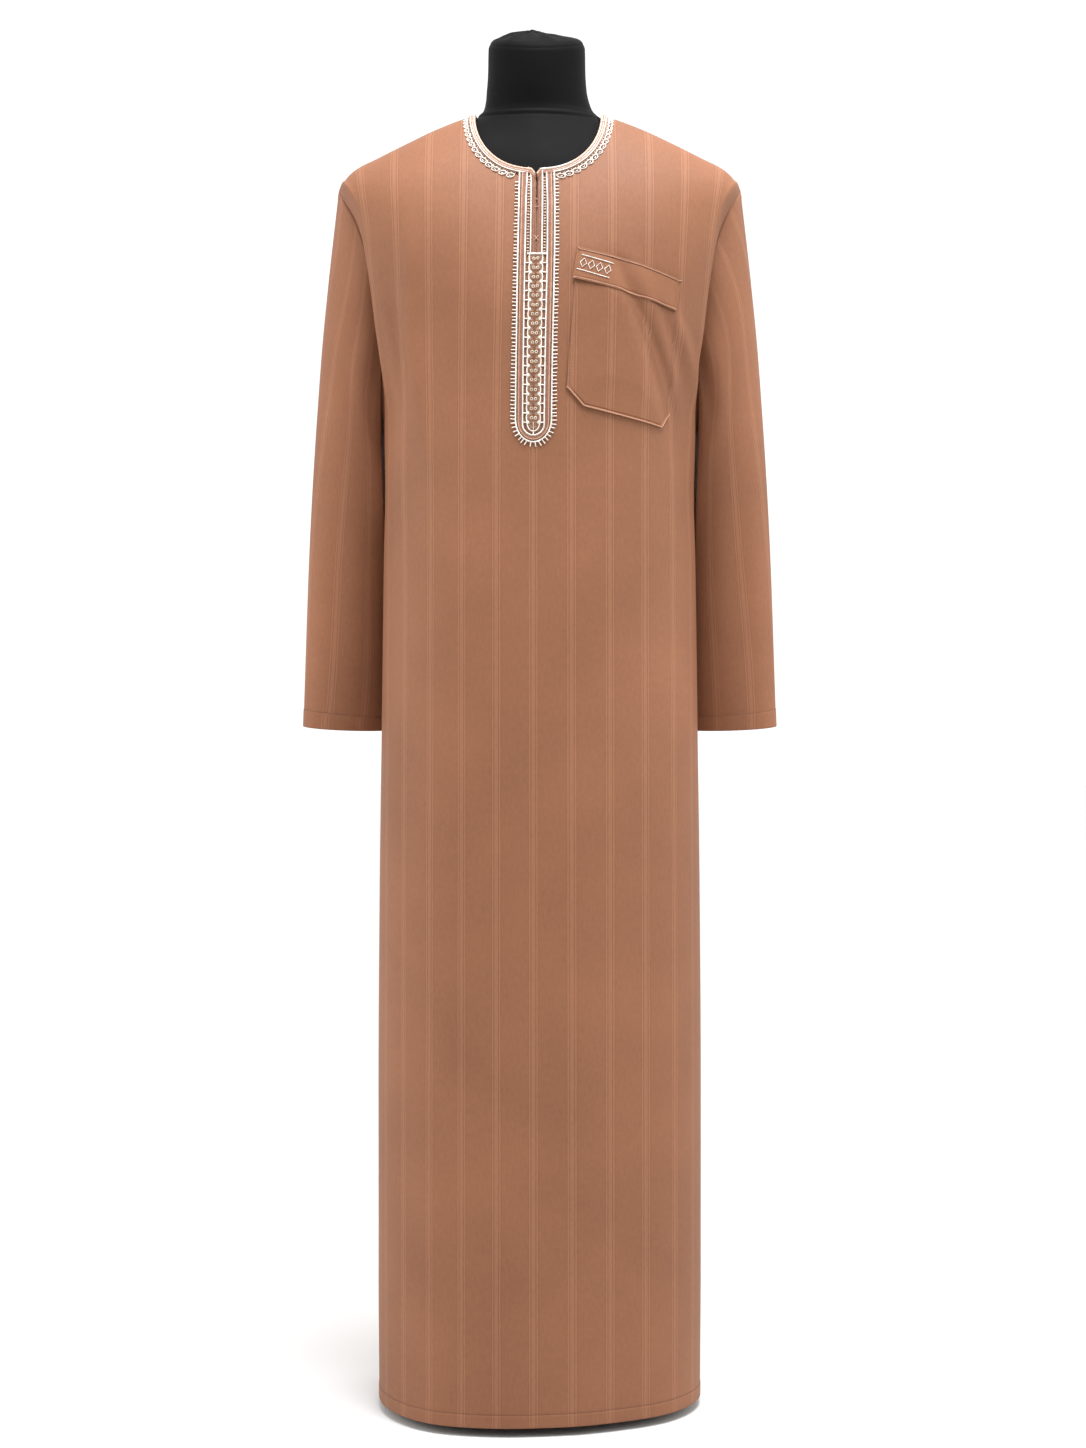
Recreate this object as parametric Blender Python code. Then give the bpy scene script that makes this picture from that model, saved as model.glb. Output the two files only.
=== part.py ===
"""A long collarless robe with set-in sleeves, hung on a limbless dress form on a pole and base plate.

Metres, +Z up, the front faces -Y, and +X is the wearer's left. The origin is on the floor under the base plate.
Heights in the robe's tables are measured up from its hem, and widths out from its centre line.
"""

import math
from collections import namedtuple

import bpy
import numpy as np
from mathutils import Vector
from mathutils.bvhtree import BVHTree

# Driving sizes of the robe.
HEM_CLEARANCE = 0.010  # the hem hangs this far above the floor
NECK_POINT = 1.4505  # height of the shoulder seam where it meets the neckline
UNDERARM = 1.110
SHOULDER_TIP = 1.3675  # top of the armhole seam
SHOULDER_TIP_OUT = 0.229
NECK_HALF_WIDTH = 0.0707
FRONT_NECK_DROP = 0.0766
BACK_NECK_DROP = 0.018
CLOTH = 0.0015  # thickness of every cloth wall
SEAM_GAP = 0.0003
MITRE_SPARE = 0.00002  # more than half the seam's gap, because mitred walls close it a little
SQUARENESS = 2.2  # 2 would make each body section an ellipse
NECK_SQUARENESS = 2.3  # the same for the neckline
NECK_WIDENING = 0.85  # the neckline's drop grows by this much for each metre that it widens
SLIT_BOTTOM = 1.322
SLIT_GAP = 0.0014
FAN = 1.5  # the rows of the chest fan out to the shoulder by this power of their rise

# How far the cloth reaches over the shoulders before the armhole seam.
Shoulder = namedtuple("Shoulder", "out height")
SHOULDER_LINE = (
    Shoulder(out=0.0000, height=1.4605),
    Shoulder(out=0.0736, height=1.4505),
    Shoulder(out=0.1147, height=1.4362),
    Shoulder(out=0.1489, height=1.4203),
    Shoulder(out=0.1831, height=1.4035),
    Shoulder(out=0.2105, height=1.3895),
    Shoulder(out=0.2241, height=1.3755),
    Shoulder(out=0.2310, height=1.3628),
    Shoulder(out=0.2344, height=1.3492),
)

# Level sections of the body, from the hem up. The last rows give the chest and back inside the shoulder roll.
Body = namedtuple("Body", "height half_width front back")
BODY = (
    Body(height=0.0000, half_width=0.1822, front=0.1550, back=0.1430),
    Body(height=0.1505, half_width=0.1833, front=0.1545, back=0.1420),
    Body(height=0.3330, half_width=0.1833, front=0.1530, back=0.1400),
    Body(height=0.5610, half_width=0.1821, front=0.1500, back=0.1370),
    Body(height=0.7430, half_width=0.1798, front=0.1460, back=0.1340),
    Body(height=0.9485, half_width=0.1770, front=0.1420, back=0.1310),
    Body(height=1.0170, half_width=0.1755, front=0.1400, back=0.1300),
    Body(height=UNDERARM, half_width=0.1773, front=0.1365, back=0.1280),
    Body(height=1.2000, half_width=0.1773, front=0.1345, back=0.1240),
    Body(height=NECK_POINT, half_width=0.1773, front=0.1330, back=0.1160),
)

# The armhole: the seam, the ridge where the chest turns back into it, and the section's full reach.
Armhole = namedtuple("Armhole", "height seam_out seam_front seam_back ridge_out reach")
ARMHOLE = (
    Armhole(height=UNDERARM, seam_out=0.1773, seam_front=0.000, seam_back=0.000, ridge_out=0.1694, reach=0.1773),
    Armhole(height=1.1540, seam_out=0.1760, seam_front=0.012, seam_back=0.014, ridge_out=0.1765, reach=0.188),
    Armhole(height=1.1990, seam_out=0.1775, seam_front=0.024, seam_back=0.028, ridge_out=0.1830, reach=0.198),
    Armhole(height=1.2450, seam_out=0.1830, seam_front=0.034, seam_back=0.040, ridge_out=0.1885, reach=0.207),
    Armhole(height=1.2850, seam_out=0.1935, seam_front=0.040, seam_back=0.045, ridge_out=0.1946, reach=0.216),
    Armhole(height=1.3270, seam_out=0.2075, seam_front=0.034, seam_back=0.038, ridge_out=0.2018, reach=0.226),
    Armhole(height=1.3545, seam_out=0.2225, seam_front=0.020, seam_back=0.022, ridge_out=0.2135, reach=0.236),
    Armhole(height=SHOULDER_TIP, seam_out=SHOULDER_TIP_OUT, seam_front=0.000, seam_back=0.000,
            ridge_out=0.2225, reach=0.240),
)
CHEST_ROLL = 0.300  # height over which the front rolls from upright to level at the neck
BACK_ROLL = 0.220
ROLL_LOSS = 0.85  # the roll gets shorter by this much for each metre out towards the shoulder tip
NECK_ROOT_HALF_WIDTH = 0.066
NECK_ROOT_DEPTH = 0.060
FLAP_BULGE = 0.22  # how far the cloth runs on past the ridge before it turns in to the seam

# Slanted sections down a sleeve, from above the elbow to the cuff: where its outer and inner edges run.
SleeveSection = namedtuple(
    "SleeveSection", "along outer_out outer_back outer_height inner_out inner_back inner_height half_width")
SLEEVE = (
    SleeveSection(along=0.23, outer_out=0.2431, outer_back=0.004, outer_height=1.2434,
                  inner_out=0.1790, inner_back=0.020, inner_height=1.0650, half_width=0.043),
    SleeveSection(along=0.45, outer_out=0.2520, outer_back=0.010, outer_height=1.1300,
                  inner_out=0.1715, inner_back=0.046, inner_height=1.0000, half_width=0.045),
    SleeveSection(along=0.72, outer_out=0.2613, outer_back=0.020, outer_height=0.9700,
                  inner_out=0.1655, inner_back=0.076, inner_height=0.9000, half_width=0.042),
    SleeveSection(along=1.00, outer_out=0.2700, outer_back=0.032, outer_height=0.7565,
                  inner_out=0.1644, inner_back=0.100, inner_height=0.7565, half_width=0.036),
)
SLEEVE_AXIS = Vector((0.075, 0.105, -1.0))  # the way a hanging sleeve points
SLEEVE_CLEARANCE = 0.0035  # between the sleeve and the side of the body it hangs against
SLEEVE_EASE = 0.04  # the clearance is whole this share of the sleeve's length below its seam

# Soft folds. Each runs from its top to its foot on one panel and stands out by its rise.
Fold = namedtuple("Fold", "panel top_out top_height foot_out foot_height width foot_width rise")
FOLDS = (
    Fold("front", top_out=0.070, top_height=1.275, foot_out=0.172, foot_height=0.980,
         width=0.016, foot_width=0.022, rise=0.0045),
    Fold("back", top_out=-0.105, top_height=1.250, foot_out=-0.128, foot_height=-0.100,
         width=0.020, foot_width=0.030, rise=0.016),
    Fold("back", top_out=-0.040, top_height=1.220, foot_out=-0.045, foot_height=-0.100,
         width=0.018, foot_width=0.027, rise=0.013),
    Fold("back", top_out=0.035, top_height=1.240, foot_out=0.040, foot_height=-0.100,
         width=0.018, foot_width=0.028, rise=0.014),
    Fold("back", top_out=0.100, top_height=1.260, foot_out=0.125, foot_height=-0.100,
         width=0.020, foot_width=0.030, rise=0.015),
)
FOLD_GROWTH = 1.6  # a fold that runs to the hem is whole after one part in this of its length
FOLD_FADE = 6  # folds fade towards the side seam by this power of the distance out
# How far the centre front hangs to the wearer's right, by height.
Hang = namedtuple("Hang", "height shift")
HANG = (
    Hang(height=0.000, shift=-0.0066),
    Hang(height=1.060, shift=-0.0070),
    Hang(height=1.360, shift=-0.0031),
    Hang(height=1.550, shift=-0.0030),
)
HANG_REACH = 0.165  # the shift fades out this far from the centre
HANG_DEPTH = 0.12  # and over this distance from front to back
FRONT_LEAN = 0.12  # the front stands further out on the wearer's right than on the left, by this share
FRONT_LEAN_TOP = 1.250
FRONT_LEAN_FADE = 0.400  # the lean is whole this far below its top

# Trims, laid on the front. Sizes across them are full unless they say half.
TRIM_LIFT = 0.0005  # clear of the cloth below, as sewn
TRIM_THICKNESS = 0.0010
BRAID_THICKNESS = 0.0013
BRAID_INSET = 0.0003
BRAID_WIDTH = 0.0130
PLACKET_HALF_WIDTH = 0.0200
PLACKET_BAND = 0.0080
PLACKET_TOP = 1.3600  # just below the neck braid
PLACKET_BOTTOM = 1.0655
OUTER_ROUND = 0.0245  # height of the rounded foot, at the placket's outer edge
INNER_ROUND = 0.0117  # and at its inner edge
ROSETTES_TOP = 1.2735
ROSETTES_GAP = 0.0006  # between the rosettes and the placket's braid
LEAST_LIFT = 0.7  # a trim keeps at least this share of its lift between its points

# The chest pocket, row by row from the mouth down, and the band folded over its mouth.
PocketRow = namedtuple("PocketRow", "left_out left_height right_out right_height")
POCKET = (
    PocketRow(left_out=0.0415, left_height=1.2821, right_out=0.1580, right_height=1.2510),
    PocketRow(left_out=0.0295, left_height=1.1287, right_out=0.1450, right_height=1.1043),
    PocketRow(left_out=0.0499, left_height=1.1069, right_out=0.1350, right_height=1.0868),
)
POCKET_BAND = (
    PocketRow(left_out=0.0415, left_height=1.2826, right_out=0.1590, right_height=1.2512),
    PocketRow(left_out=0.0360, left_height=1.2516, right_out=0.1520, right_height=1.2181),
)

# The form inside: level sections below the underarm, from its bottom up.
FormSection = namedtuple("FormSection", "height half_width front back")
FORM = (
    FormSection(height=0.7900, half_width=0.1200, front=0.0900, back=0.0850),
    FormSection(height=0.7960, half_width=0.1450, front=0.1130, back=0.1050),
    FormSection(height=0.8120, half_width=0.1540, front=0.1200, back=0.1110),
    FormSection(height=0.9300, half_width=0.1600, front=0.1250, back=0.1150),
    FormSection(height=1.0300, half_width=0.1660, front=0.1290, back=0.1200),
)
# The form's neck, sections from its root up. Each rises backwards by its lean, as the neck's top is cut slanting.
NeckSection = namedtuple("NeckSection", "height half_width front back lean")
NECK = (
    NeckSection(height=1.4485, half_width=0.0680, front=0.0530, back=0.0530, lean=0.00),
    NeckSection(height=1.4535, half_width=0.0642, front=0.0525, back=0.0525, lean=0.00),
    NeckSection(height=1.4635, half_width=0.0600, front=0.0530, back=0.0530, lean=0.00),
    NeckSection(height=1.4780, half_width=0.0573, front=0.0540, back=0.0540, lean=0.04),
    NeckSection(height=1.5000, half_width=0.0556, front=0.0545, back=0.0545, lean=0.12),
    NeckSection(height=1.5300, half_width=0.0549, front=0.0540, back=0.0540, lean=0.29),
    NeckSection(height=1.5345, half_width=0.0530, front=0.0522, back=0.0522, lean=0.30),
)
NECK_SHIFT = -0.0022  # the neck stands a little to the wearer's right
NECK_SHIFT_RISE = 0.030  # the shift comes in over this height above the neck's root
# The gathered cap: how far each ring of it stands out and above the neck's top.
Turned = namedtuple("Turned", "radius height")
CAP = (
    Turned(radius=0.0000, height=0.0000),
    Turned(radius=0.0500, height=0.0000),
    Turned(radius=0.0534, height=0.0010),
    Turned(radius=0.0537, height=0.0024),
    Turned(radius=0.0500, height=0.0050),
    Turned(radius=0.0400, height=0.0092),
    Turned(radius=0.0285, height=0.0121),
    Turned(radius=0.0150, height=0.0134),
    Turned(radius=0.0070, height=0.0140),
    Turned(radius=0.0054, height=0.0158),
    Turned(radius=0.0000, height=0.0166),
)
CAP_FOLDS = 12
CAP_RIPPLE = 0.02
CAP_SEGMENTS = 36
BASE_RADIUS = 0.115
BASE_THICKNESS = 0.006
BASE_CHAMFER = 0.0015
BASE_SEGMENTS = 48
BOSS_FOOT_RADIUS = 0.028
BOSS_TOP_RADIUS = 0.024
BOSS_HEIGHT = 0.024
POLE_RADIUS = 0.016
POLE_SEGMENTS = 24
FORM_CLEARANCE = 0.0019  # from the robe's outer surface to the form, where the form carries it
ARMPLATE_INSET = 0.0045

ARMPLATE_SHARE = 0.9  # how much of the armhole's depth the flat armplate fills

# How finely each piece is divided.
NECK_TURNS = (0, 22, 43, 61, 75, 84, 90)  # degrees round the neckline, from the centre to the shoulder seam
NECK_COLUMNS = len(NECK_TURNS) - 1
SHOULDER_COLUMNS = 6
FLAP_COLUMNS = 3
HALF_COLUMNS = NECK_COLUMNS + SHOULDER_COLUMNS + FLAP_COLUMNS
SKIRT_ROWS = 9
CHEST_ROWS = 11
DENSE_ROWS = 60  # rows worked out up the chest before they are spaced evenly
SLEEVE_ROWS = (0, 0.025, 0.07, 0.14, 0.22, 0.31, 0.40, 0.50, 0.60, 0.70, 0.80, 0.90, 1.0)  # shares of its length
BRAID_FRONT_TURNS = (12, 22, 33, 43, 52, 61, 68, 75, 80, 84, 87.5)  # degrees round the neckline, from the slit
BRAID_BACK_TURNS = (90, 86, 80, 72, 62, 52, 42, 32, 21, 10)
ROUND_STEPS = 6
PLACKET_STEPS = 25
ROSETTE_TURNS = (28, 48, 68)  # degrees round the foot of the rosette panel
POCKET_STEP = 0.0125
POCKET_COLUMNS = 10
BAND_STEP = 0.0080
BAND_COLUMNS = 12
MERGED = 1e-6  # points closer than this are one
CREASE = math.radians(40)  # edges sharper than this are shaded as creases
STRAIGHT = 1.2  # two border edges whose unit steps add up to more than this run straight on
SURFACE_STEPS = ((0, 0, 0), (0.006, 0, 0.002), (-0.006, 0, -0.002), (0, 0.002, 0.006), (0, -0.002, -0.006))


def smooth(table, key, value, at):
    """One column of a table at places between its rows, on a smooth curve that never overshoots them."""
    x = np.array([getattr(row, key) for row in table])
    y = np.array([getattr(row, value) for row in table])
    step = np.diff(x)
    rise = np.diff(y) / step
    slope = np.zeros(len(x))
    same = rise[1:] * rise[:-1] > 0
    near, far = 2 * step[1:] + step[:-1], step[1:] + 2 * step[:-1]
    inner = np.where(same, rise[1:] * rise[:-1], 1.0)
    slope[1:-1] = np.where(same, (near + far) * inner / np.where(same, near * rise[1:] + far * rise[:-1], 1.0), 0)
    slope[0], slope[-1] = rise[0], rise[-1]
    at = np.clip(np.asarray(at, float), x[0], x[-1])
    i = np.clip(np.searchsorted(x, at, side="right") - 1, 0, len(x) - 2)
    t = (at - x[i]) / step[i]
    return (
        y[i] * (1 + 2 * t) * (1 - t) ** 2
        + slope[i] * step[i] * t * (1 - t) ** 2
        + y[i + 1] * t * t * (3 - 2 * t)
        + slope[i + 1] * step[i] * t * t * (t - 1)
    )


def curve_through(places, rows, at):
    """The row at one place of a smooth curve that passes through all the rows."""
    i = min(max(np.searchsorted(places, at, side="right") - 1, 0), len(rows) - 2)
    slopes = [(rows[1] - rows[0]) / (places[1] - places[0])]
    for k in range(1, len(rows) - 1):
        slopes.append((rows[k + 1] - rows[k - 1]) / (places[k + 1] - places[k - 1]))
    slopes.append((rows[-1] - rows[-2]) / (places[-1] - places[-2]))
    step = places[i + 1] - places[i]
    t = (at - places[i]) / step
    return (
        rows[i] * (1 + 2 * t) * (1 - t) ** 2
        + slopes[i] * step * t * (1 - t) ** 2
        + rows[i + 1] * t * t * (3 - 2 * t)
        + slopes[i + 1] * step * t * t * (t - 1)
    )


def shell_depth(out, height, panel):
    """How far the upper body's surface stands in front of the shoulder line, or behind it for the back."""
    out = np.abs(out)
    roll = (CHEST_ROLL if panel == "front" else BACK_ROLL) - ROLL_LOSS * out
    risen = np.clip((smooth(SHOULDER_LINE, "out", "height", out) - height) / roll, 0, 1)
    rolled = np.sqrt(1 - (1 - risen) ** 2)
    reach = smooth(ARMHOLE, "height", "reach", height)
    across = np.clip(1 - (out / reach) ** SQUARENESS, 0, 1) ** (1 / SQUARENESS)
    shoulder = smooth(BODY, "height", panel, height) * across * rolled
    neck = NECK_ROOT_DEPTH * np.clip(1 - (out / NECK_ROOT_HALF_WIDTH) ** 2, 0, 1)
    return (shoulder**4 + neck**4) ** (1 / 4)


def neckline(turn, panel, outside=0.0):
    """A point of the neckline, as out and height. turn is 0 at the centre and a right angle at the shoulder."""
    drop = FRONT_NECK_DROP if panel == "front" else BACK_NECK_DROP
    half_width = NECK_HALF_WIDTH + outside
    power = 2 / NECK_SQUARENESS
    out = half_width * np.sin(turn) ** power
    top = smooth(SHOULDER_LINE, "out", "height", half_width)
    return out, top - (drop + NECK_WIDENING * outside) * np.cos(turn) ** power


def even(profile, count):
    """The same curve with count + 1 points at equal distances along it."""
    gone = np.concatenate([[0], np.cumsum(np.linalg.norm(np.diff(profile, axis=0), axis=1))])
    at = np.linspace(0, gone[-1], count + 1)
    return np.stack([np.interp(at, gone, profile[:, k]) for k in range(3)], axis=1)


def chest_row(rise, panel):
    """One dense row of the upper body, from the centre line to the armhole seam. rise is 0 at the underarm and 1 at
    the shoulder seam and neckline."""
    columns = np.arange(HALF_COLUMNS - FLAP_COLUMNS + 1)
    seam_height = UNDERARM + (SHOULDER_TIP - UNDERARM) * rise
    ridge = float(smooth(ARMHOLE, "height", "ridge_out", seam_height))
    turn = np.radians(90) * columns / HALF_COLUMNS
    low_share = np.sin(turn) ** (2 / SQUARENESS)
    low_share = low_share / low_share[-1]
    neck_out, neck_height = neckline(np.radians(NECK_TURNS), panel)
    ridge_top = ARMHOLE[-1].ridge_out
    seam_part = np.linspace(NECK_HALF_WIDTH, ridge_top, SHOULDER_COLUMNS + 1)[1:]
    top_out = np.concatenate([neck_out, seam_part])
    top_height = np.concatenate([neck_height, smooth(SHOULDER_LINE, "out", "height", seam_part)])
    share = low_share + (top_out / ridge_top - low_share) * rise**FAN
    out = ridge * share
    height = UNDERARM + (top_height - UNDERARM) * rise
    sign = -1 if panel == "front" else 1
    points = np.stack([out, sign * shell_depth(out, height, panel), height], axis=1)
    seam_depth = float(smooth(ARMHOLE, "height", "seam_" + panel, seam_height))
    seam = np.array([float(smooth(ARMHOLE, "height", "seam_out", seam_height)), sign * seam_depth, seam_height])
    start = points[-1]
    leave = start - points[-2]
    leave[2] = 0
    bend = start + leave / max(np.linalg.norm(leave), 1e-9) * FLAP_BULGE * np.linalg.norm(seam - start)
    t = (np.arange(FLAP_COLUMNS) + 1)[:, None] / FLAP_COLUMNS
    flap = start * (1 - t) ** 2 + bend * 2 * t * (1 - t) + seam * t * t
    return np.concatenate([points, flap])


def skirt_row(height, panel):
    """One level row below the underarm, from the centre line to the side seam."""
    turn = np.radians(90) * np.arange(HALF_COLUMNS + 1) / HALF_COLUMNS
    power = 2 / SQUARENESS
    half_width = smooth(BODY, "height", "half_width", height)
    depth = smooth(BODY, "height", panel, height)
    sign = -1 if panel == "front" else 1
    side = np.maximum(np.cos(turn), 0) ** power
    return np.stack([half_width * np.sin(turn) ** power, sign * depth * side, np.full(len(turn), height)], axis=1)


def chest_rises():
    """Where the dense rows of the upper body lie, closer together towards the shoulder."""
    return np.sin(np.radians(90) * np.arange(DENSE_ROWS + 1) / DENSE_ROWS)


def half_panel(panel):
    """Half of the front or back, centre line to side seam, as rows from the hem up to the shoulder and neckline."""
    skirt = [skirt_row(h, panel) for h in np.linspace(0, UNDERARM, SKIRT_ROWS + 1)[:-1]]
    chest = np.array([chest_row(rise, panel) for rise in chest_rises()])
    columns = [even(chest[:, c], CHEST_ROWS) for c in range(HALF_COLUMNS + 1)]
    return np.concatenate([np.array(skirt), np.stack(columns, axis=1)])


def fold_rise(out, height, panel):
    """How far the folds push the cloth out at a place."""
    total = np.zeros(np.shape(out))
    for fold in (f for f in FOLDS if f.panel == panel):
        along = np.clip((fold.top_height - height) / (fold.top_height - fold.foot_height), 0, 1)
        middle = fold.top_out + (fold.foot_out - fold.top_out) * along
        width = fold.width + (fold.foot_width - fold.width) * along
        grown = np.sin(np.radians(90) * np.clip(along * FOLD_GROWTH, 0, 1))
        if fold.foot_height > 0:  # it dies out again before the hem
            grown = np.sin(np.radians(180) * along)
        total = total + fold.rise * grown * np.exp(-(((out - middle) / width) ** 2))
    return total


def grid_faces(rows, columns, flip=False):
    """Quads of a grid whose points are numbered along each row."""
    made = []
    for r in range(rows - 1):
        for c in range(columns - 1):
            a = r * columns + c
            quad = (a, a + 1, a + columns + 1, a + columns)
            made.append(quad[::-1] if flip else quad)
    return made


def welded(points, faces):
    """The sheet as triangles, with points that coincide made one. Each quad is cut along its shorter diagonal, so a
    wall's two sides bend alike."""
    keys = {}
    index = []
    kept = []
    for p in points:
        key = tuple(np.round(p / MERGED).astype(int))
        if key not in keys:
            keys[key] = len(kept)
            kept.append(p)
        index.append(keys[key])
    kept = np.array(kept)
    triangles = []
    for face in faces:
        corners = []
        for i in (index[k] for k in face):
            if i not in corners:
                corners.append(i)
        if len(corners) == 3:
            triangles.append(tuple(corners))
        if len(corners) == 4:
            a, b, c, d = corners
            if np.linalg.norm(kept[a] - kept[c]) <= np.linalg.norm(kept[b] - kept[d]):
                triangles += [(a, b, c), (a, c, d)]
            else:
                triangles += [(a, b, d), (b, c, d)]
    return kept, triangles


def panel_sheet(panel):
    """The front or back as one sheet of outer points and quads. The front is cut open at the neck slit."""
    half = half_panel(panel)
    rows, columns = half.shape[:2]
    halves = []
    for side in (1, -1):
        points = half.copy()
        points[:, :, 0] *= side
        fade = 1 - np.linspace(0, 1, columns) ** FOLD_FADE
        rise = fold_rise(points[:, :, 0], points[:, :, 2], panel) * fade
        reach = np.maximum(np.abs(half[:, -1:, 0]), 1e-6)
        if panel == "front":
            below = np.clip((FRONT_LEAN_TOP - points[:, :, 2]) / FRONT_LEAN_FADE, 0, 1)
            points[:, :, 1] *= 1 - FRONT_LEAN * points[:, :, 0] / reach * below
            open_row = points[:, 0, 2] > SLIT_BOTTOM
            points[open_row, 0, 0] = side * SLIT_GAP / 2
        length = np.linalg.norm(points[:, :, :2], axis=2)
        points[:, :, :2] *= ((length + rise) / length)[:, :, None]
        halves.append(points)
    points = np.concatenate([h.reshape(-1, 3) for h in halves])
    faces = grid_faces(rows, columns, flip=panel == "back")
    other = [tuple(i + rows * columns for i in f[::-1]) for f in faces]
    return welded(points, faces + other)


def armhole_ring():
    """The armhole seam as a closed ring: down the front from the shoulder tip, and up the back."""
    front, back = half_panel("front")[SKIRT_ROWS:, -1], half_panel("back")[SKIRT_ROWS:, -1]
    return np.concatenate([front[::-1], back[1:-1]])


def sleeve_ring(section, turns):
    """One slanted oval of the sleeve. turns run from its outer edge over the front to the inner edge and back."""
    outer = np.array([section.outer_out, section.outer_back, section.outer_height])
    inner = np.array([section.inner_out, section.inner_back, section.inner_height])
    short_way = np.cross(outer - inner, np.array(SLEEVE_AXIS))
    short_way *= -np.sign(short_way[1]) / np.linalg.norm(short_way)
    middle = (outer + inner) / 2
    ring = middle + np.outer(np.cos(turns), (outer - inner) / 2)
    return ring + np.outer(np.sin(turns) * section.half_width, short_way)


def sleeve_sheet(side, body):
    """One sleeve as a tube of outer points, from the armhole seam down to the cuff, hanging clear of the body."""
    seam = armhole_ring()
    count = len(seam)
    turns = 2 * math.pi * np.arange(count) / count
    rings = [seam] + [sleeve_ring(section, turns) for section in SLEEVE]
    places = [0.0] + [section.along for section in SLEEVE]
    rows = []
    for at in SLEEVE_ROWS:
        ring = curve_through(places, rings, at)
        ring[:, 0] *= side
        if at > 0:
            clearance = SLEEVE_CLEARANCE * min(1, at / SLEEVE_EASE)
            ring = np.array([pushed_clear(p, body, clearance) for p in ring])
        rows.append(ring)
    points = np.array(rows)
    points = np.concatenate([points, points[:, :1]], axis=1)
    faces = grid_faces(len(points), count + 1, flip=side < 0)
    return welded(points.reshape(-1, 3), faces)


def pushed_clear(point, body, clearance):
    """The point, or the nearest place that far outside the body's cloth."""
    place = Vector(point)
    for _ in range(3):
        nearest, normal, _, _ = body.find_nearest(place)
        short = clearance - (place - nearest) @ normal
        if short > 0:
            place = place + normal * short
    return np.array(place)


def tree_of(*sheets):
    """The sheets' faces, to be asked for the nearest place on them."""
    points = []
    faces = []
    for sheet_points, sheet_faces in sheets:
        faces += [tuple(i + len(points) for i in face) for face in sheet_faces]
        points += [tuple(map(float, p)) for p in sheet_points]
    return BVHTree.FromPolygons(points, faces)


def wall_normals(sheets):
    """Outward normals of the robe's sheets. Where two of them meet they share a normal, so that their walls are
    mitred, but in the valley of an armhole each keeps its own, because there the walls part on the inside."""
    keys = {}
    own = {}
    inward = {}
    for name, (points, faces) in sheets.items():
        keys[name] = [tuple(np.round(p / MERGED).astype(int)) for p in points]
        own[name] = np.zeros(points.shape)
        inward[name] = np.zeros(points.shape)
        for face in faces:
            corners = points[list(face)]
            normal = np.cross(corners[1] - corners[0], corners[2] - corners[0])
            normal /= max(np.linalg.norm(normal), 1e-15)
            for k, i in enumerate(face):
                one, two = corners[k - 1] - corners[k], corners[k - 2] - corners[k]
                angle = math.acos(np.clip(one @ two / np.linalg.norm(one) / np.linalg.norm(two), -1, 1))
                own[name][i] += normal * angle
                inward[name][i] += corners.mean(0) - points[i]
    at = {}
    for name in sheets:
        for i, key in enumerate(keys[name]):
            at.setdefault(key, []).append((name, i))
    found = {name: np.zeros(sheets[name][0].shape) for name in sheets}
    for places in at.values():
        body = [(n, i) for n, i in places if not n.startswith("sleeve")]
        sleeve = [(n, i) for n, i in places if n.startswith("sleeve")]
        body_normal = sum((own[n][i] for n, i in body), np.zeros(3))
        sleeve_normal = sum((own[n][i] for n, i in sleeve), np.zeros(3))
        valley = body and sleeve and inward[sleeve[0][0]][sleeve[0][1]] @ body_normal > 0
        together = body_normal + sleeve_normal
        for n, i in body:
            found[n][i] = body_normal if valley else together
        for n, i in sleeve:
            found[n][i] = sleeve_normal if valley else together
    return {name: normals / np.linalg.norm(normals, axis=1)[:, None] for name, normals in found.items()}


def border(faces):
    """The sheet's edges that only one face uses, each in that face's direction."""
    seen = {}
    for face in faces:
        for a, b in zip(face, face[1:] + face[:1]):
            seen[(a, b)] = True
    return [edge for edge in seen if edge[::-1] not in seen]


def drawn_in(points, faces, keep, by):
    """The sheet with its border drawn in by half a seam's gap, apart from points where keep is true."""
    edges = border(faces)
    on_border = {i for edge in edges for i in edge}
    moved = points.copy()
    for i in on_border:
        if keep[i]:
            continue
        pull = np.zeros(3)
        for face in faces:
            if i in face:
                middle = points[list(face)].mean(0)
                pull += middle - points[i]
        along = np.zeros(3)
        for a, b in edges:
            if i in (a, b):
                step = points[b] - points[a]
                along += step / np.linalg.norm(step)
        if np.linalg.norm(along) > STRAIGHT:
            along /= np.linalg.norm(along)
            pull -= along * (pull @ along)
        moved[i] += pull / np.linalg.norm(pull) * by
    return moved


def material(name, colour, roughness, metallic=0.0):
    made = bpy.data.materials.new(name)
    made.use_nodes = True
    shader = made.node_tree.nodes["Principled BSDF"]
    shader.inputs["Base Color"].default_value = (*colour, 1)
    shader.inputs["Roughness"].default_value = roughness
    shader.inputs["Metallic"].default_value = metallic
    return made


def hung(points):
    """Places of the robe or its form in the object's own frame, with the centre front hung a little to one side."""
    out, back, height = np.asarray(points, float).T
    across = np.clip(1 - (out / HANG_REACH) ** 2, 0, 1) ** 2
    front = np.clip(0.5 - back / HANG_DEPTH, 0, 1)
    moved = out + smooth(HANG, "height", "shift", height) * across * front * front * (3 - 2 * front)
    return np.stack([moved, back, height + HEM_CLEARANCE], axis=1)


def add_object(name, points, faces, finish):
    """A named object of given points and faces, shaded smooth but at its edges."""
    mesh = bpy.data.meshes.new(name)
    mesh.from_pydata([tuple(map(float, p)) for p in points], [], [tuple(map(int, f)) for f in faces])
    mesh.validate()
    mesh.shade_smooth()
    mesh.set_sharp_from_angle(angle=CREASE)
    mesh.materials.append(finish)
    made = bpy.data.objects.new(name, mesh)
    bpy.context.scene.collection.objects.link(made)
    return made


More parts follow.
